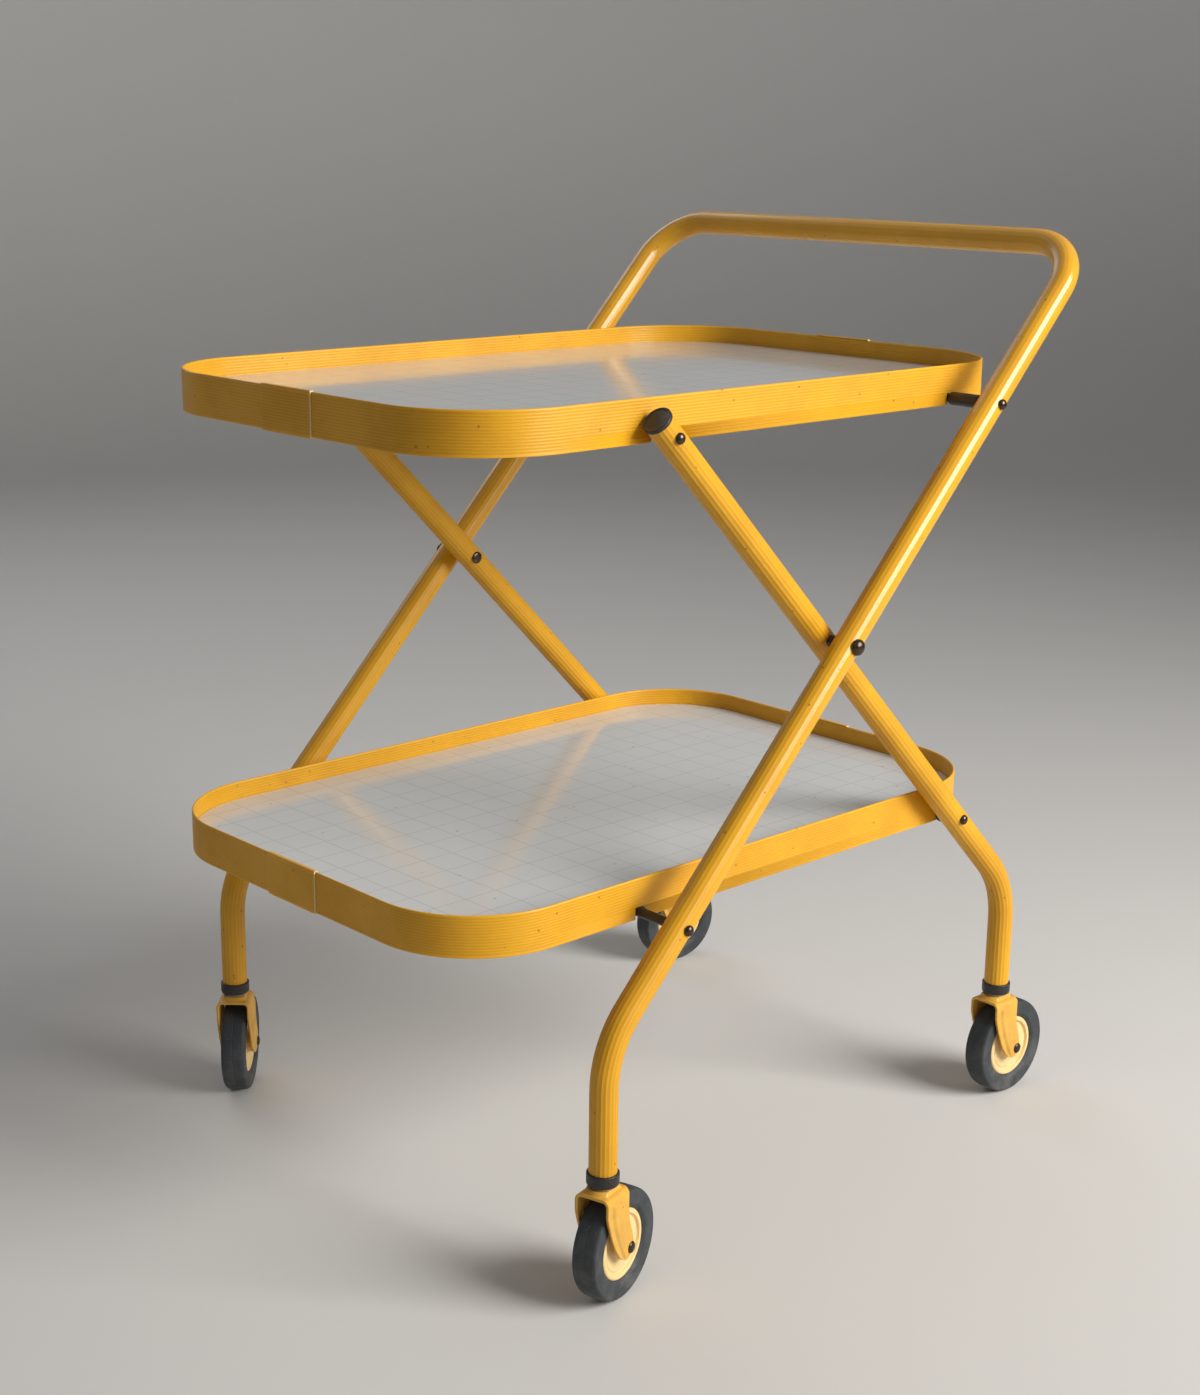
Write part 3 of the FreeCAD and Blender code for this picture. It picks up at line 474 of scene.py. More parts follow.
# The fork's groove darkening is painted shade on the slope of its pressed step.
fork_enamel = finish("fork_enamel", (0.80, 0.44, 0.06, 1.0), (0.66, 0.33, 0.04, 1.0),
                     (0.16, 0.10, 0.04, 1.0), (0.34, 0.55), drift=0.7, patch=60.0, specks=0.03,
                     speck_scale=420.0, groove_darkening=0.5, dust=0.35, bump=0.05)
print("painted finishes:", len(bpy.data.materials))

# %% Plastic, rubber and metal
hub_cream = finish("hub_cream", (0.90, 0.68, 0.32, 1.0), (0.82, 0.57, 0.24, 1.0),
                   (0.30, 0.20, 0.09, 1.0), (0.34, 0.5), patch=45.0, specks=0.06, speck_scale=420.0,
                   groove_darkening=0.6, dust=0.25)
tyre_rubber = finish("tyre_rubber", (0.028, 0.034, 0.041, 1.0), (0.046, 0.053, 0.060, 1.0),
                     (0.10, 0.10, 0.10, 1.0), (0.55, 0.8), patch=70.0, specks=0.14, speck_scale=500.0,
                     bump=0.08, dust=0.55, dust_colour=(0.16, 0.16, 0.155, 1.0))
black_plastic = finish("black_plastic", (0.018, 0.016, 0.016, 1.0), (0.028, 0.024, 0.022, 1.0),
                       (0.09, 0.08, 0.07, 1.0), (0.32, 0.5), patch=60.0, specks=0.08, speck_scale=500.0,
                       bump=0.05)
dark_metal = finish("dark_metal", (0.085, 0.060, 0.042, 1.0), (0.050, 0.038, 0.030, 1.0),
                    (0.12, 0.07, 0.03, 1.0), (0.17, 0.34), patch=90.0, specks=0.1, speck_scale=600.0,
                    bump=0.04, Metallic=0.85)
black_rod = finish("black_rod", (0.030, 0.026, 0.024, 1.0), (0.05, 0.04, 0.035, 1.0),
                   (0.12, 0.08, 0.05, 1.0), (0.35, 0.5), patch=40.0, specks=0.06, Metallic=0.3)
bright_steel = finish("bright_steel", (0.48, 0.47, 0.45, 1.0), (0.38, 0.36, 0.33, 1.0),
                      (0.14, 0.11, 0.08, 1.0), (0.28, 0.45), patch=60.0, specks=0.05, Metallic=1.0)
print("materials so far:", len(bpy.data.materials))

# %% The laminate: glossy white with a faint ruled grid on top, and plain board underneath
LINE_GREY = (0.44, 0.45, 0.45, 1.0)
BOARD_BROWN = (0.62, 0.52, 0.41, 1.0)
LAMINATE_SKIN = 0.8 * MM
GRID_PITCH = 27.0 * MM
LINE_WIDTH = 1.1 * MM
LINE_SHARE = 0.55
BOARD_SHARE = 0.75
laminate = finish("laminate", (0.70, 0.73, 0.74, 1.0), (0.64, 0.67, 0.68, 1.0), (0.42, 0.40, 0.36, 1.0),
                  (0.11, 0.15), drift=0.3, patch=9.0, specks=0.02, speck_scale=180.0, bump=0.006,
                  Coat_Weight=0.18, Coat_Roughness=0.05)
tree = laminate.node_tree
lines = add_node(tree, "ShaderNodeGroup", {"Pitch": GRID_PITCH, "Line Width": LINE_WIDTH},
                 node_tree=ruled)
skin_socket = tree.nodes["Principled BSDF"].inputs["Base Color"]
plain = skin_socket.links[0].from_socket
faint = maths(tree, "MULTIPLY", lines.outputs["Mask"], LINE_SHARE)
height = place_parts(tree)[1]["Z"]
skins = []
for tray in ("upper_tray", "lower_tray"):
    skins.append(maths(tree, "COMPARE", height, float(corners_of(tray + "_panel")[1][2])))
    skins[-1].node.inputs[2].default_value = LAMINATE_SKIN
grain = mixed(tree, BOARD_SHARE, plain, BOARD_BROWN, "MULTIPLY")
printed = mixed(tree, faint, plain, LINE_GREY)
tree.links.new(mixed(tree, maths(tree, "MAXIMUM", *skins), grain, printed), skin_socket)
print("laminate has", len(tree.nodes), "nodes")

# %% [markdown]
# ## Fluted tube
#
# The legs and the handle are drawn aluminium tube with shallow flutes along it, which give the fine
# stripes of light and shade. A plain cylinder with a striped bump would look right only from far away,
# so the flutes are real: the profile's radius falls from each narrow ridge to the middle of its flute
# along a parabola. The same profile runs through the bends, inside and out, so each tube is a closed
# hollow body. Its line is read from the frame: the joints lie on it, and the box gives its ends.

# %% A fluted hollow tube along a bent path
FLUTES = 20
FLUTE_POINTS = 8
FLUTE_DEPTH = 0.24 * MM
HAND_WORN = 0.7
TUBE_WALL = 1.5 * MM
FOOT_BEND = 75.0 * MM
HANDLE_BEND = 45.0 * MM
leg_low, leg_high = corners_of("rear_leg_left_tube")
tube_radius = (leg_high[1] - leg_low[1]) / 2


def fluted_tube(corners, radii, rubbed=0.0):
    """Outer rings with radius R - depth * 4p(1 - p), where p runs from 0 to 1 across each flute,
    then plain inner rings on the way back, closed into one hollow body. The flutes of a rubbed
    tube lose that share of their depth on the way up to its highest station, and the wear that
    polishes it grows with the cube of the way up."""
    turn = np.arange(FLUTES * FLUTE_POINTS) / FLUTE_POINTS
    across = turn % 1.0
    flute = 4 * across * (1 - across)
    angle = 2 * math.pi * turn / FLUTES
    circle = np.stack([np.cos(angle), np.sin(angle)], axis=-1)
    path = bent_path(corners, radii, (0.0, 1.0, 0.0))
    height = path[0][:, 2]
    rise = (height - height.min()) / (height.max() - height.min())
    depth = (1 - rubbed * rise)[:, None] * flute
    wear_and_highlight = rubbed * rise ** 3
    outside = carried(circle * (tube_radius - FLUTE_DEPTH * depth)[..., None], path)
    inside = carried(circle * (tube_radius - TUBE_WALL), path)[::-1]
    plain = np.zeros(depth.shape)
    return grid(np.concatenate([outside, inside]), close_rows=True, close_columns=True,
                groove=np.concatenate([depth, plain]),
                wear_and_highlight=np.concatenate([plain + wear_and_highlight[:, None], plain]))


print("leg tube across, mm:", round(2 * tube_radius / MM, 1))

# %% The handle frame, from caster to caster by way of the handle
fold = joint_place("leg_fold")
low, high = corners_of("handle_frame_tube")
frame_plane = high[1] - tube_radius
front_foot = low[0] + tube_radius
handle_x = high[0] - tube_radius
handle_z = high[2] - tube_radius
frame_slope = (handle_z - fold[2]) / (handle_x - fold[0])
front_knee = fold[2] - (fold[0] - front_foot) * frame_slope
frame_corners = [(front_foot, -frame_plane, low[2]), (front_foot, -frame_plane, front_knee),
                 (handle_x, -frame_plane, handle_z), (handle_x, frame_plane, handle_z),
                 (front_foot, frame_plane, front_knee), (front_foot, frame_plane, low[2])]
frame_bends = [FOOT_BEND, HANDLE_BEND, HANDLE_BEND, FOOT_BEND]
handle_tube = make_piece("fluted_handle_tube", [fluted_tube(frame_corners, frame_bends, HAND_WORN)],
                         tube_lacquer, "handle_frame", ["handle_frame_tube"])
print("handle tube faces:", len(handle_tube.data.polygons))

# %% The two rear legs, with a flat black plug in each upper end
lower_rod = joint_place("lower_tray_lift")
rear_slope = (fold[2] - lower_rod[2]) / (lower_rod[0] - fold[0])
rear_angle = math.atan(rear_slope)
rear_way = np.array([-math.cos(rear_angle), 0.0, math.sin(rear_angle)])
PLUG_BRIM = 0.6 * MM
PLUG_HEIGHT = 3.2 * MM
PLUG_DISH = 0.5 * MM
PLUG_DEPTH = 8.0 * MM
PLUG_LIP = 0.86
PLUG_FLAT = 0.80
PLUG_SOFT = 0.9 * MM
for side in ("left", "right"):
    low, high = corners_of("rear_leg_%s_tube" % side)
    plane = (low[1] + high[1]) / 2
    rear_plane = abs(plane)
    rear_foot = high[0] - tube_radius
    knee = fold[2] - (rear_foot - fold[0]) * rear_slope
    end_z = high[2] - tube_radius * math.cos(rear_angle)
    leg_end = np.array([fold[0] - (end_z - fold[2]) / rear_slope, plane, end_z])
    leg_corners = [(rear_foot, plane, low[2]), (rear_foot, plane, knee), leg_end]
    leg = make_piece("fluted_rear_leg_" + side, [fluted_tube(leg_corners, [FOOT_BEND])],
                     tube_lacquer, "rear_legs", ["rear_leg_%s_tube" % side])
    brim = tube_radius + PLUG_BRIM
    bore = tube_radius - TUBE_WALL
    dish = PLUG_HEIGHT - PLUG_DISH
    outline = rounded([(0.0, -PLUG_DEPTH), (bore, -PLUG_DEPTH), (bore, 0.0), (brim, 0.0),
                       (brim, PLUG_HEIGHT), (brim * PLUG_LIP, PLUG_HEIGHT), (brim * PLUG_FLAT, dish),
                       (0.0, dish)], PLUG_SOFT)
    make_piece("leg_plug_" + side, [turned(outline, leg_end, rear_way)], black_plastic, "rear_legs",
               ["rear_leg_%s_cap" % side])
    print(side, "rear leg faces:", len(leg.data.polygons))

# %% [markdown]
# ## Ribbed tray rims
#
# Each tray is edged by a ribbed strip, bent into two halves that meet under a clip in the middle of each
# short end. We draw the strip's section once: ribs up the outside, a rounded bead at the top, ribs down
# the inside to the board, and a ledge under it. The section is carried round half of the tray. The rods
# pass through notches in the lower edge; those are cut with a Boolean, as a punch cuts the real strip.

# %% The section of the rim
RIM_CORNER = 80.0 * MM
RIM_BEND_STEPS = 28
RIM_WALL = 2.0 * MM
RIM_RIBS = 13
RIM_INNER_RIBS = 7
RIM_FOOT = 0.3 * MM
RIM_TOE = 0.2
RIB_DEPTH = 0.17 * MM
RIB_POINTS = 6
BEAD = 1.5 * MM
BEAD_STEPS = 9
LEDGE_REACH = 6.0 * MM
LEDGE_TOP = 12.0 * MM
LEDGE_BASE = 10.5 * MM


def ribbed_line(low, high, ribs, face, inward):
    """Points up a face: face + inward * depth * 4p(1 - p), where p runs from 0 to 1 across each rib."""
    turn = np.arange(ribs * RIB_POINTS + 1) / RIB_POINTS
    across = turn % 1.0
    hollow = 4 * across * (1 - across)
    points = np.stack([face + inward * RIB_DEPTH * hollow, low + (high - low) * turn / ribs], axis=-1)
    return points, hollow


def rim_section(height):
    """The closed section of the strip: distance out from the tray's edge, height over its lower edge.
    The bead on top is half an oval: half the wall * cos a across, the bead's height * sin a up."""
    outside, outside_hollow = ribbed_line(BEAD, height - BEAD, RIM_RIBS, 0.0, -1.0)
    bead_angle = np.linspace(0.0, math.pi, BEAD_STEPS)[1:-1]
    bead = np.stack([-RIM_WALL / 2 + np.cos(bead_angle) * RIM_WALL / 2,
                     height - BEAD + np.sin(bead_angle) * BEAD], axis=-1)
    inside, inside_hollow = ribbed_line(LEDGE_TOP + BEAD, height - BEAD, RIM_INNER_RIBS, -RIM_WALL, 1.0)
    tail = np.array([(-RIM_WALL, LEDGE_TOP), (-RIM_WALL - LEDGE_REACH, LEDGE_TOP),
                     (-RIM_WALL - LEDGE_REACH, LEDGE_BASE), (-RIM_WALL, LEDGE_BASE),
                     (-RIM_WALL, RIM_FOOT), (-RIM_WALL * (1 - RIM_TOE), 0.0), (-RIM_WALL * RIM_TOE, 0.0),
                     (0.0, RIM_FOOT)])
    points = np.concatenate([outside, bead, inside[::-1], tail])
    hollow = np.concatenate([outside_hollow, np.zeros(len(bead)), inside_hollow[::-1],
                             np.zeros(len(tail))])
    return points, hollow


print("points round the section:", len(rim_section(30.0 * MM)[0]))

# %% Notches for the rods
NOTCH_GAP = 0.5 * MM
NOTCH_SEAT = 0.3 * MM
NOTCH_RAMP = 15.0 * MM
OVERRUN = 5.0 * MM


def prism(outline, near, far):
    """An outline in X and Z, carried straight along Y and closed at both ends."""
    outline = np.asarray(outline, float)
    ends = np.stack([np.insert(outline, 1, near, axis=1), np.insert(outline, 1, far, axis=1)])
    return grid(ends, close_columns=True, cap_ends=True)


def cut_away(piece, surfaces):
    """Takes prisms out of a piece with a Boolean, and keeps the result as the piece's own mesh."""
    tool = bpy.data.objects.new("cutter", make_mesh("cutter", surfaces, SHARP, True))
    bpy.context.scene.collection.objects.link(tool)
    modifier = piece.modifiers.new("notches", "BOOLEAN")
    modifier.operation = "DIFFERENCE"
    modifier.solver = "EXACT"
    modifier.object = tool
    solved = piece.evaluated_get(bpy.context.evaluated_depsgraph_get())
    mesh = bpy.data.meshes.new_from_object(solved)
    piece.modifiers.clear()
    old = piece.data
    piece.data = mesh
    bpy.data.meshes.remove(old)
    bpy.data.objects.remove(tool)


def rod_notches(tray_low, hook, pivot, rod_radius, near, far):
    """An open hook with a ramp behind it at one rod, and a plain slot at the other."""
    room = rod_radius + NOTCH_GAP
    below = tray_low - OVERRUN
    seat = hook[2] + rod_radius + NOTCH_SEAT
    hook_outline = [(hook[0] - room, below), (hook[0] - room, seat), (hook[0] + room, seat),
                    (hook[0] + room + NOTCH_RAMP, below)]
    pivot_outline = [(pivot[0] - room, below), (pivot[0] - room, pivot[2] + room),
                     (pivot[0] + room, pivot[2] + room), (pivot[0] + room, below)]
    return [prism(hook_outline, near, far), prism(pivot_outline, near, far)]


print("notch tools ready")

# %% Four rim halves
rod_low, rod_high = corners_of("upper_hook_rod")
rod_radius = (rod_high[2] - rod_low[2]) / 2
RODS = {"upper_tray": ("upper_hook_rod", "upper_tray_lift"),
        "lower_tray": ("lower_hook_rod", "lower_tray_lift")}
CUT_REACH = 4 * OVERRUN
for tray, (hook_rod, pivot_joint) in RODS.items():
    hook_low, hook_high = corners_of(hook_rod)
    hook = (hook_low + hook_high) / 2
    pivot = joint_place(pivot_joint)
    for side, sign in (("left", -1), ("right", 1)):
        node = "%s_rim_%s" % (tray, side)
        low, high = corners_of(node)
        middle = (low[0] + high[0]) / 2
        reach = (high[0] - low[0]) / 2
        edge = low[1] if sign < 0 else high[1]
        base = low[2]
        section, hollow = rim_section(high[2] - low[2])
        path = bent_path([(middle - sign * reach, 0.0, base), (middle - sign * reach, edge, base),
                          (middle + sign * reach, edge, base), (middle + sign * reach, 0.0, base)],
                         [RIM_CORNER, RIM_CORNER], (-sign, 0.0, 0.0), RIM_BEND_STEPS)
        surface = grid(carried(section, path), close_columns=True, cap_ends=True,
                       groove=np.tile(hollow, (len(path[0]), 1)))
        rim = make_piece("ribbed_rim_%s_%s" % (tray, side), [surface], rim_lacquer, tray,
                         [node])
        cut_away(rim, rod_notches(base, hook, pivot, rod_radius, edge - CUT_REACH, edge + CUT_REACH))
        print(node, "faces:", len(rim.data.polygons))

# %% Clips over the joints of the rims
CLIP_SHEET = 0.8 * MM
CLIP_LIP = 4.0 * MM
CLIP_SOFT = 0.8 * MM
CLIP_TOE = 0.4
CLIP_HIGHLIGHT_STRIP = 0.6 * MM
CLIP_STATIONS = 3
# Painted highlight: a strip at the near (-Y) end of each clip takes the rim lacquer's pale colour, as a
# lit edge would look; the far end takes a tenth of it.
CLIP_HIGHLIGHT_SHARE = np.array([1.0, 1.0, 0.0, 0.0, 0.1, 0.1])


def clip_section(height):
    """The closed section of a clip: a ribbed face, folded over the rim's top and under its foot."""
    face, hollow = ribbed_line(BEAD, height - BEAD, RIM_RIBS, CLIP_SHEET, -1.0)
    back = -RIM_WALL
    over = rounded([(CLIP_SHEET, height - BEAD), (CLIP_SHEET, height + CLIP_SHEET),
                    (back, height + CLIP_SHEET), (back, height)], CLIP_SOFT)[1:]
    tail = np.array([(0.0, height), (0.0, 0.0), (back, 0.0), (back, CLIP_LIP),
                     (back - CLIP_SHEET, CLIP_LIP), (back - CLIP_SHEET, -CLIP_SHEET),
                     ((1 - CLIP_TOE) * CLIP_SHEET, -CLIP_SHEET), (CLIP_SHEET, -CLIP_TOE * CLIP_SHEET)])
    points = np.concatenate([face, over, tail])
    return points, np.concatenate([hollow, np.zeros(len(over) + len(tail))])


for tray in RODS:
    rim_low, rim_high = corners_of(tray + "_rim_left")
    for end, sign, edge in (("front", -1, rim_low[0]), ("rear", 1, rim_high[0])):
        node = "%s_clip_%s" % (tray, end)
        low, high = corners_of(node)
        section, hollow = clip_section(rim_high[2] - rim_low[2])
        steps = np.arange(CLIP_STATIONS) * CLIP_HIGHLIGHT_STRIP
        stations = np.concatenate([low[1] + steps, high[1] - steps[::-1]])
        count = len(stations)
        path = (np.stack([np.full(count, edge), stations, np.full(count, rim_low[2])], axis=-1),
                np.tile((float(sign), 0.0, 0.0), (count, 1)), np.tile((0.0, 0.0, 1.0), (count, 1)))
        # Each station's share of the painted highlight at the clip's ends.
        wear_and_sheen = np.tile(CLIP_HIGHLIGHT_SHARE[:, None], (1, len(section)))
        make_piece("ribbed_clip_%s_%s" % (tray, end),
                   [grid(carried(section, path), close_columns=True, cap_ends=True,
                         groove=np.tile(hollow, (count, 1)), wear_and_highlight=wear_and_sheen)],
                   rim_lacquer, tray, [node])
        print(node, "length, mm:", round((high[1] - low[1]) / MM, 1))

# %% [markdown]
# ## Casters
#
# A caster is a black socket in the tube's end, a pressed steel fork that swivels on a stem, and a wheel:
# a moulded hub with a raised ring, a solid tyre and a riveted axle. The fork is one sheet, so we make
# it as one grid: rows go up the left cheek, over the crown and down the right cheek, and columns run
# from the front edge to the back edge. Both edges are functions of the height, and they meet in a round
# tip just below the axle. Solidify then gives the sheet its thickness.

# %% The pressed fork
FORK_HALF = 14.5 * MM
FORK_FRONT = 14.0 * MM
FORK_BACK = 13.0 * MM
FORK_NECK = 3.0 * MM
FORK_SHEET = 2.0 * MM
FORK_SKIRT = 13.0 * MM
FORK_KNEE = 18.0 * MM
FORK_ROUND = 5.0 * MM
FORK_EMBOSS = 1.0 * MM
FORK_TIP_SHIFT = 4.0 * MM
FORK_TIP_DROP = 7.8 * MM
BLUNT = 0.998
FORK_SWEEP = 1.1
FORK_NOSE = 0.52
PRESS_START = 0.16
PRESS_RAMP = 0.18
PRESS_END = 0.08
PRESS_RISE = 4.0 * MM
PRESS_FADE = 6.0 * MM
CREASE_SPAN = 0.4
CREASE_PAINTED_SHADE = 0.4
CROWN_BAND = 0.01 * MM
NECK_TOP_RADIUS = 10.5 * MM
NECK_FOOT_RADIUS = 13.5 * MM
TIP_ROWS = 16
CHEEK_ROWS = 26
BEND_ROWS = 9
CROWN_ROWS = 30
FORK_COLUMNS = 40


def smooth(value):
    """Rises smoothly from 0 to 1 between 0 and 1: 3t^2 - 2t^3."""
    value = np.clip(value, 0.0, 1.0)
    return value * value * (3 - 2 * value)


def fork_sheet(neck_top, axle_height, trail, boss):
    """The fork in its own frame: x towards the back, y across, z up, with the stem on the z axis.
    Rows give y and z: up a cheek, round a quarter circle, over the crown and down again. With a fall f
    from 0 at the skirt to 1 at the tip, the front edge goes back by 1 - (1 - f^sweep)^nose of its way,
    the back edge swings out by 3f^2 - 2f^3, and below the axle it is an arc, boss * sqrt(1 - u^2).
    Columns share out the way from edge to edge. The cheeks are pressed out by a smooth step that fades
    towards the crown and the tip. The slope of the step is also returned as a mask of painted shade,
    which darkens it through the groove darkening."""
    top = neck_top - FORK_NECK
    half = FORK_HALF - FORK_EMBOSS
    below = axle_height - FORK_TIP_DROP * np.sin(np.linspace(math.pi / 2, 0.0, TIP_ROWS))
    cheek = np.concatenate([below, np.linspace(axle_height, top - FORK_ROUND, CHEEK_ROWS)[1:]])
    bend = np.linspace(0.0, math.pi / 2, BEND_ROWS)[1:]
    across = np.linspace(FORK_ROUND - half, half - FORK_ROUND, CROWN_ROWS)[1:-1]
    y = np.concatenate([np.full(len(cheek), -half), -half + FORK_ROUND * (1 - np.cos(bend)), across,
                        half - FORK_ROUND * (1 - np.cos(bend[::-1])), np.full(len(cheek), half)])
    z = np.concatenate([cheek, top - FORK_ROUND * (1 - np.sin(bend)), np.full(len(across), top),
                        top - FORK_ROUND * (1 - np.sin(bend[::-1])), cheek[::-1]])
    skirt = top - FORK_SKIRT
    front_fall = np.clip((skirt - z) / (skirt - axle_height + FORK_TIP_DROP), 0.0, BLUNT)
    back_fall = np.clip((top - FORK_KNEE - z) / (top - FORK_KNEE - axle_height), 0.0, 1.0)
    under = np.clip((axle_height - z) / FORK_TIP_DROP, 0.0, BLUNT)
    tip = trail - FORK_TIP_SHIFT
    front = -FORK_FRONT + (tip + FORK_FRONT) * (1 - (1 - front_fall ** FORK_SWEEP) ** FORK_NOSE)
    back = FORK_BACK + (tip + boss - FORK_BACK) * smooth(back_fall)
    back = np.where(under > 0, tip + boss * np.sqrt(1 - under ** 2), back)
    along = np.linspace(0.0, 1.0, FORK_COLUMNS)
    x = front[:, None] + (back - front)[:, None] * along
    y = np.tile(y[:, None], (1, len(along)))
    z = np.tile(z[:, None], (1, len(along)))
    slope = NECK_FOOT_RADIUS - NECK_TOP_RADIUS
    neck = FORK_NECK * smooth((NECK_FOOT_RADIUS - np.hypot(x, y)) / slope)
    on_crown = z > top - CROWN_BAND
    pressed = smooth((along - PRESS_START) / PRESS_RAMP) * smooth((1.0 - along) / PRESS_END)
    lower_part = smooth((top - FORK_ROUND - z) / PRESS_RISE) * smooth((z - below[0]) / PRESS_FADE)
    push = FORK_EMBOSS * pressed[None, :] * lower_part
    points = np.stack([x, y + np.sign(y) * push, z + np.where(on_crown, neck, 0.0)], axis=-1)
    # Painted shade: the slope of the pressed step is darkened, as its shaded side would look.
    crease = np.abs(pressed[None, :] - 0.5) < CREASE_SPAN
    return points, np.where(crease, CREASE_PAINTED_SHADE * lower_part, 0.0)


def placed(points, foot, heading):
    """Points of a caster's own frame, turned to its heading about the z axis and set at its foot."""
    c, s = math.cos(heading), math.sin(heading)
    turn = np.array([[c, -s, 0.0], [s, c, 0.0], [0.0, 0.0, 1.0]])
    return points @ turn.T + np.array([foot[0], foot[1], 0.0])


print("fork points:", fork_sheet(89.5 * MM, 40.0 * MM, 15.0 * MM, 8.6 * MM)[0].shape)

# %% Wheel profiles
HUB_RADIUS = 25.5 * MM
HUB_BORE = 3.05 * MM
HUB_BOSS = 8.0 * MM
HUB_BOSS_END = 11.0 * MM
HUB_WEB = 6.2 * MM
HUB_RING_END = 8.0 * MM
HUB_FLARE = 2.0 * MM
HUB_DISH_END = 0.76
HUB_DISH_RISE = 0.3 * MM
HUB_DIP = (0.79, 0.83)
HUB_DIP_DEPTH = 0.5 * MM
HUB_RING = (0.86, 0.95)
HUB_EDGE = HUB_RING_END - 0.8 * MM
HUB_SOFT = 0.7 * MM
TYRE_HALF = 9.5 * MM
TYRE_LIP = 0.8 * MM
TYRE_WALL = 3.0 * MM
TYRE_SOFT = 0.9 * MM
TREAD_HALF = 7.75 * MM
TREAD_FLAT = 0.6
TREAD_LINE = 0.5 * MM
TREAD_LINE_DEPTH = 0.2 * MM
TREAD_LINE_FLOOR = 0.1 * MM
SHOULDER = 1.5 * MM
SHOULDER_DROP = 0.25
WHEEL_STEPS = 96


def mirrored(half):
    """A half profile of (radius, side) and its mirror image, as one loop."""
    half = np.asarray(half, float)
    return np.concatenate([half * (1, -1), half[::-1]])


def hub_loop():
    """From the bore out to the rim: a boss, a shallow dish, a dip, and a thin ring that stands up near
    the edge. Corners of (radius, side), mirrored to the other side and softened."""
    dip = HUB_WEB - HUB_DIP_DEPTH
    return rounded(mirrored([(HUB_BORE, HUB_BOSS_END), (HUB_BOSS, HUB_BOSS_END),
                             (HUB_BOSS + HUB_FLARE, HUB_WEB),
                             (HUB_RADIUS * HUB_DISH_END, HUB_WEB + HUB_DISH_RISE),
                             (HUB_RADIUS * HUB_DIP[0], dip), (HUB_RADIUS * HUB_DIP[1], dip),
                             (HUB_RADIUS * HUB_RING[0], HUB_RING_END),
                             (HUB_RADIUS * HUB_RING[1], HUB_RING_END), (HUB_RADIUS, HUB_EDGE)]),
                   HUB_SOFT, closed=True)


def tyre_loop(radius):
    """A slightly bulging side wall, a crisp shoulder and a nearly flat tread with a fine line in its
    middle. Corners of (radius, side), mirrored to the other side and softened."""
    return rounded(mirrored([(HUB_RADIUS, HUB_EDGE), (HUB_RADIUS + TYRE_LIP, HUB_RING_END),
                             (HUB_RADIUS + TYRE_WALL, TYRE_HALF), (radius - SHOULDER, TYRE_HALF),
                             (radius - SHOULDER_DROP * SHOULDER, TREAD_HALF),
                             (radius, TREAD_HALF * TREAD_FLAT), (radius, TREAD_LINE),
                             (radius - TREAD_LINE_DEPTH, TREAD_LINE_FLOOR)]),
                   TYRE_SOFT, closed=True)


print("hub and tyre points:", len(hub_loop()), len(tyre_loop(40.0 * MM)))

# %% Pieces of a caster
SOCKET_FLANGE = 9.0 * MM
SOCKET_BEVEL = (0.6 * MM, 1.2 * MM)
SOCKET_SOFT = 1.0 * MM
STEM_BORE = 4.05 * MM
AXLE_HEAD = 4.3 * MM
AXLE_DOME = 1.8 * MM
AXLE_RADIUS = 3.0 * MM
AXLE_DOME_STEPS = 10
AXLE_SEAT = FORK_HALF - 0.7 * MM


def caster_socket(corner, body, foot):
    """A flanged plug in the tube's end: corners of (radius, height), softened and spun about the stem."""
    low, high = corners_of(corner + "_socket")
    flange = (high[0] - low[0]) / 2
    plug = tube_radius - TUBE_WALL
    loop = rounded([(STEM_BORE, low[2]), (flange - SOCKET_BEVEL[0], low[2]),
                    (flange, low[2] + SOCKET_BEVEL[1]), (flange, low[2] + SOCKET_FLANGE),
                    (plug, low[2] + SOCKET_FLANGE), (plug, high[2]), (STEM_BORE, high[2])],
                   SOCKET_SOFT, closed=True)
    socket = turned(loop, (foot[0], foot[1], 0.0), (0, 0, 1), close_profile=True)
    make_piece("socket_" + corner, [socket], black_plastic, body, [corner + "_socket"])


def caster_fork(corner, body, foot, wheel, heading):
    """The pressed sheet, turned to the caster's heading, with its thickness laid inwards."""
    low, high = corners_of(corner + "_fork")
    trail = np.linalg.norm(wheel[:2] - foot[:2])
    points, crease = fork_sheet(high[2], wheel[2], trail, wheel[2] - low[2])
    fork = make_piece("pressed_fork_" + corner, [grid(placed(points, foot, heading), groove=crease)],
                      fork_enamel, body, [corner + "_fork"], closed=False)
    sheet = fork.modifiers.new("sheet", "SOLIDIFY")
    sheet.thickness = FORK_SHEET
    sheet.offset = -1.0


def caster_axle(corner, body, wheel, way):
    """A riveted axle: a pin with a low dome at each end, radius * sin a out and height * cos a up."""
    dome = np.linspace(0.0, math.pi / 2, AXLE_DOME_STEPS)
    head = np.stack([AXLE_HEAD * np.sin(dome), FORK_HALF + AXLE_DOME * np.cos(dome)], axis=-1)
    pin = np.array([(AXLE_HEAD, AXLE_SEAT), (AXLE_RADIUS, AXLE_SEAT)])
    half = np.concatenate([head, pin])
    outline = np.concatenate([half, half[::-1] * (1, -1)])
    make_piece("axle_rivet_" + corner, [turned(outline, wheel, way)], dark_metal, body,
               [corner + "_axle"])


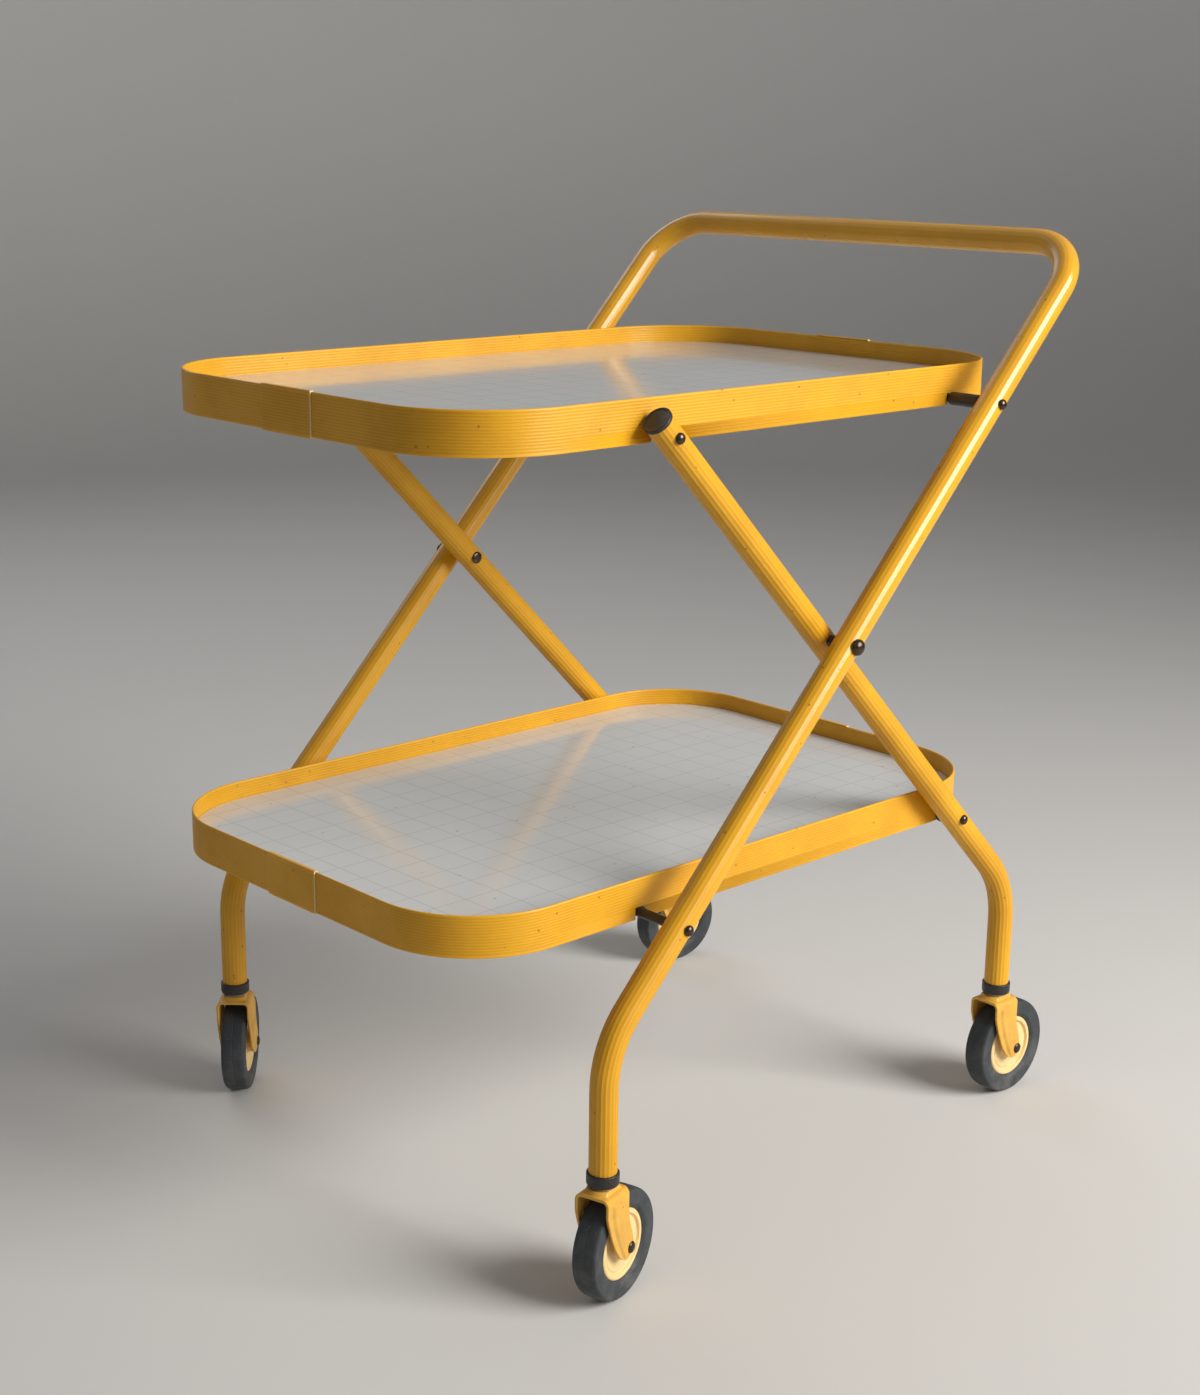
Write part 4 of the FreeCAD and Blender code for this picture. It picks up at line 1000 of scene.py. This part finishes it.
def caster_wheel(corner, body, wheel, way):
    """The hub and the tyre, both spun about the axle."""
    hub = turned(hub_loop(), wheel, way, WHEEL_STEPS, close_profile=True)
    make_piece("wheel_hub_" + corner, [hub], hub_cream, body, [corner + "_hub"])
    tyre = turned(tyre_loop(wheel[2]), wheel, way, WHEEL_STEPS, close_profile=True)
    make_piece("wheel_tyre_" + corner, [tyre], tyre_rubber, body, [corner + "_tyre"])


print("a caster's axle is, mm:", round(2 * (FORK_HALF + AXLE_DOME) / MM, 1))

# %% Four casters
for corner in ("front_left", "front_right", "rear_left", "rear_right"):
    leg_body = "handle_frame" if corner.startswith("front") else "rear_legs"
    swivel, rolling = corner + "_swivel", corner + "_wheel"
    foot = joint_place(corner + "_caster_swivel")
    wheel = joint_place(corner + "_wheel_spin")
    heading = math.atan2(wheel[1] - foot[1], wheel[0] - foot[0])
    axle_way = np.array([-math.sin(heading), math.cos(heading), 0.0])
    caster_socket(corner, leg_body, foot)
    caster_fork(corner, swivel, foot, wheel, heading)
    caster_axle(corner, swivel, wheel, axle_way)
    caster_wheel(corner, rolling, wheel, axle_way)
    print(corner, "caster points", round(math.degrees(heading)), "degrees")

# %% [markdown]
# ## Rivets and screws
#
# The legs cross on two large domed rivets, and each rod is held in the tubes by smaller ones. A rivet is
# a turned part: a dome, the flat under it, and the shank. The large ones also show a low tail inside.
# The screws that hold the saddles under the trays are made in the same way.

# %% Shapes of the heads
ROD_HEAD = 4.0 * MM
ROD_DOME = 3.0 * MM
ROD_SHANK = 2.0 * MM
ROD_GRIP = 34.0 * MM
CROSSING_HEAD = 6.0 * MM
CROSSING_DOME = 4.5 * MM
CROSSING_SHANK = 3.0 * MM
CROSSING_TAIL = 5.0 * MM
CROSSING_TAIL_DOME = 1.5 * MM
SCREW_HEAD = 3.0 * MM
SCREW_DOME = 1.8 * MM
SCREW_SHANK = 1.5 * MM
SCREW_STEPS = 32
RIVET_STEPS = 40
CROSSING_STEPS = 48
DOME_STEPS = 12
DOME_FULLNESS = 0.85


def dome_line(radius, height):
    """From the crown to the brim of a head: radius * sin a, height * cos a to a power below 1, so it
    is fuller than an oval."""
    angle = np.linspace(0.0, math.pi / 2, DOME_STEPS)
    return np.stack([radius * np.sin(angle), height * np.cos(angle) ** DOME_FULLNESS], axis=-1)


def rivet(x, z, plane, sign):
    """A small rivet: dome outside the tube, shank through it."""
    shank = np.array([(ROD_SHANK, 0.0), (ROD_SHANK, -ROD_GRIP), (0.0, -ROD_GRIP)])
    outline = np.concatenate([dome_line(ROD_HEAD, ROD_DOME), shank])
    return turned(outline, (x, sign * (plane + tube_radius), z), (0, sign, 0), RIVET_STEPS)


def crossing_rivet(sign):
    """A large rivet: dome outside, shank through both tubes, low tail inside."""
    length = frame_plane - rear_plane + 2 * tube_radius
    tail = dome_line(CROSSING_TAIL, CROSSING_TAIL_DOME)[::-1] * (1, -1) - (0, length)
    shank = np.array([(CROSSING_SHANK, 0.0), (CROSSING_SHANK, -length)])
    outline = np.concatenate([dome_line(CROSSING_HEAD, CROSSING_DOME), shank, tail])
    outside = sign * (frame_plane + tube_radius)
    return turned(outline, (fold[0], outside, fold[2]), (0, sign, 0), CROSSING_STEPS)


def rod_rivets(rods, plane):
    """The four rivets of two rods."""
    centres = [sum(corners_of(rod)) / 2 for rod in rods]
    return [rivet(centre[0], centre[2], plane, sign) for centre in centres for sign in (-1, 1)]


def saddle_screws(tray):
    """Four domed screws, one in each corner of the box that they fill."""
    low, high = corners_of(tray + "_saddle_screws")
    seat = low[2] + SCREW_DOME
    shank = np.array([(SCREW_SHANK, 0.0), (SCREW_SHANK, seat - high[2]), (0.0, seat - high[2])])
    outline = np.concatenate([dome_line(SCREW_HEAD, SCREW_DOME), shank])
    return [turned(outline, (x, y, seat), (0, 0, -1), SCREW_STEPS)
            for x in (low[0] + SCREW_HEAD, high[0] - SCREW_HEAD)
            for y in (low[1] + SCREW_HEAD, high[1] - SCREW_HEAD)]


print("points along a dome:", len(dome_line(ROD_HEAD, ROD_DOME)))

# %% Heads in their places
make_piece("crossing_rivet_heads", [crossing_rivet(-1), crossing_rivet(1)], dark_metal, "handle_frame",
           ["crossing_rivets"])
make_piece("frame_rivet_heads", rod_rivets(("upper_pivot_rod", "lower_hook_rod"), frame_plane),
           dark_metal, "handle_frame", ["frame_rod_rivets"])
make_piece("leg_rivet_heads", rod_rivets(("upper_hook_rod", "lower_pivot_rod"), rear_plane),
           dark_metal, "rear_legs", ["rear_leg_rod_rivets"])
for tray in RODS:
    make_piece("saddle_screws_" + tray, saddle_screws(tray), bright_steel, tray,
               [tray + "_saddle_screws"])
print("pieces made:", len(made))

# %% Sleeves on the upper pivot rod
SLEEVE_SOFT = 1.2 * MM
low, high = corners_of("upper_pivot_sleeves")
sleeve_radius = (high[2] - low[2]) / 2
sleeve_start = frame_plane - tube_radius
rim_low, rim_high = corners_of("upper_tray_rim_right")
sleeve_end = (rim_high[1] + rear_plane - tube_radius) / 2
sleeve_loop = rounded([(rod_radius, sleeve_start), (sleeve_radius, sleeve_start),
                       (sleeve_radius, sleeve_end), (rod_radius, sleeve_end)], SLEEVE_SOFT, closed=True)
sleeve_centre = ((low[0] + high[0]) / 2, 0.0, (low[2] + high[2]) / 2)
sleeves = [turned(sleeve_loop, sleeve_centre, (0, sign, 0), RIVET_STEPS, close_profile=True)
           for sign in (-1, 1)]
make_piece("rod_sleeves", sleeves, black_plastic, "handle_frame",
           ["upper_pivot_sleeves"])
print("sleeve length, mm:", round((sleeve_start - sleeve_end) / MM, 1))

# %% [markdown]
# ## Pieces that keep their shape
#
# Boards, rods, washers, spacers, saddles and stems already have the right shape, so they keep their
# meshes and only get a finish. The finish follows the record's material slot of each node.

# %% Finishes for the nodes that stay
SLOT_FINISH = {"rim_lacquer": rim_lacquer, "laminate": laminate, "black_plastic": black_plastic,
               "dark_rod": black_rod, "dark_rivet": dark_metal, "bright_steel": bright_steel,
               "frame_lacquer": tube_lacquer, "fork_enamel": fork_enamel, "hub_cream": hub_cream,
               "tyre_rubber": tyre_rubber}
slot_of = {part["node"]: part["material_slot"] for part in frame["record"]["subparts"]}
for node, obj in frame["nodes"].items():
    obj.data.materials.clear()
    obj.data.materials.append(SLOT_FINISH[slot_of[node]])
print("finishes given to", len(frame["nodes"]), "nodes")

# %% [markdown]
# ## Studio
#
# The stage is a wide pale dish: a flat floor that curves up into a wall all round, so no edge shows
# behind the trolley from any side. The far wall gets little light, so it glows a little to the rays that
# look at it, which lights nothing. One large soft lamp stands on the left side, as a window would. A weak
# one opposite lifts the far side, and a weak sky fills the shadows. All is kept at a plain level, so a
# colour shows about as written.

# %% Floor and wall in one sweep
FLOOR_RADIUS = 3.4
WALL_BEND = 1.2
WALL_TOP = 3.6
FLOOR_COLOUR = (0.74, 0.73, 0.71, 1.0)
WALL_GLOW = 0.11
WALL_STEPS = 24
DISH_STEPS = 96
DISH_SHARP = 60.0


def seen_rays(tree):
    """1 for the rays that show the backdrop itself: from the camera, off gloss and through glass."""
    rays = add_node(tree, "ShaderNodeLightPath")
    direct = maths(tree, "MAXIMUM", rays.outputs["Is Camera Ray"], rays.outputs["Is Glossy Ray"])
    return maths(tree, "MAXIMUM", direct, rays.outputs["Is Transmission Ray"])


wall = FLOOR_RADIUS + WALL_BEND
sweep = turned(rounded([(0.0, 0.0), (wall, 0.0), (wall, WALL_TOP)], WALL_BEND, WALL_STEPS),
               (0.0, 0.0, 0.0), (0.0, 0.0, 1.0), DISH_STEPS)
stage_mesh = make_mesh("studio_dish", [sweep], DISH_SHARP, False)
stage = bpy.data.objects.new("studio_dish", stage_mesh)
bpy.context.scene.collection.objects.link(stage)
stage_paint = finish("stage_paint", FLOOR_COLOUR, (0.72, 0.71, 0.69, 1.0), (0.62, 0.61, 0.59, 1.0),
                     (0.6, 0.7), patch=1.5, specks=0.0, bump=0.01, Specular_IOR_Level=0.0,
                     Emission_Color=FLOOR_COLOUR)
paint = stage_paint.node_tree
rise = ranged(paint, place_parts(paint)[1]["Z"], 0.0, WALL_BEND, 0.0, WALL_GLOW)
glow = maths(paint, "MULTIPLY", rise, seen_rays(paint))
paint.links.new(glow, paint.nodes["Principled BSDF"].inputs["Emission Strength"])
stage.data.materials.append(stage_paint)
print("stage faces:", len(stage_mesh.polygons))

# %% Lamps
KEY_PLACE = (0.9, -2.3, 1.5)
KEY_SIZE = 1.5
KEY_WATTS = 37.0
SPREAD = math.radians(110.0)
FILL_PLACE = (0.4, 3.0, 2.3)
FILL_SIZE = 2.0
FILL_WATTS = 7.0
AIM = Vector((0.03, 0.0, 0.36))
WARM_LIGHT = (1.0, 0.97, 0.93)
COOL_LIGHT = (0.95, 0.97, 1.0)


def soft_lamp(name, place, size, watts, colour):
    """A square area lamp, shaded at its sides, that looks at the middle of the trolley."""
    lamp = bpy.data.lights.new(name, "AREA")
    lamp.size = size
    lamp.energy = watts
    lamp.spread = SPREAD
    lamp.color = colour
    holder = bpy.data.objects.new(name, lamp)
    holder.location = place
    holder.rotation_euler = (AIM - Vector(place)).to_track_quat("-Z", "Y").to_euler()
    bpy.context.scene.collection.objects.link(holder)


soft_lamp("window_light", KEY_PLACE, KEY_SIZE, KEY_WATTS, WARM_LIGHT)
soft_lamp("fill_light", FILL_PLACE, FILL_SIZE, FILL_WATTS, COOL_LIGHT)
print("lamps:", len(bpy.data.lights))

# %% Sky
SKY_LIGHT = 0.20
SKY_SEEN = 0.42
SKY_COLOUR = (0.96, 0.97, 1.0, 1.0)
SEEN_COLOUR = (0.98, 0.97, 0.95, 1.0)
world = bpy.data.worlds.new("studio_sky")
bpy.context.scene.world = world
world.use_nodes = True
sky = world.node_tree
sky.nodes.clear()
seen = add_node(sky, "ShaderNodeBackground", {"Color": SEEN_COLOUR, "Strength": SKY_SEEN})
lighting = add_node(sky, "ShaderNodeBackground", {"Color": SKY_COLOUR, "Strength": SKY_LIGHT})
choice = add_node(sky, "ShaderNodeMixShader")
sky.links.new(seen_rays(sky), choice.inputs[0])
sky.links.new(lighting.outputs[0], choice.inputs[1])
sky.links.new(seen.outputs[0], choice.inputs[2])
sky.links.new(choice.outputs[0], add_node(sky, "ShaderNodeOutputWorld").inputs["Surface"])
bpy.context.scene.view_settings.view_transform = "Standard"
print("sky nodes:", len(sky.nodes))

# %% [markdown]
# ## Camera
#
# The photograph looks at the trolley from the front left, a little above it. Its focal length in pixels,
# the place of the camera and its three angles were found by matching known points of the trolley.

# %% Camera
IMAGE_WIDTH = 1200.0
FOCAL_PIXELS = 2134.2
SENSOR = 36.0
CAMERA_PLACE = np.array([-1.0931, -1.1734, 0.7857])
YAW = math.radians(43.23)
PITCH = math.radians(15.09)
ROLL = math.radians(-0.66)
ahead = np.array([math.sin(YAW) * math.cos(PITCH), math.cos(YAW) * math.cos(PITCH), -math.sin(PITCH)])
right = np.array([math.cos(YAW), -math.sin(YAW), 0.0])
down = np.cross(ahead, right)
image_right = math.cos(ROLL) * right + math.sin(ROLL) * down
image_down = -math.sin(ROLL) * right + math.cos(ROLL) * down
lens = bpy.data.cameras.new("camera")
lens.sensor_fit = "HORIZONTAL"
lens.sensor_width = SENSOR
lens.lens = FOCAL_PIXELS / IMAGE_WIDTH * SENSOR
camera = bpy.data.objects.new("camera", lens)
turn = Matrix(np.stack([image_right, -image_down, -ahead], axis=1).tolist())
camera.matrix_world = Matrix.Translation(CAMERA_PLACE.tolist()) @ turn.to_4x4()
bpy.context.scene.collection.objects.link(camera)
bpy.context.scene.camera = camera
print("lens, mm:", round(lens.lens, 1))
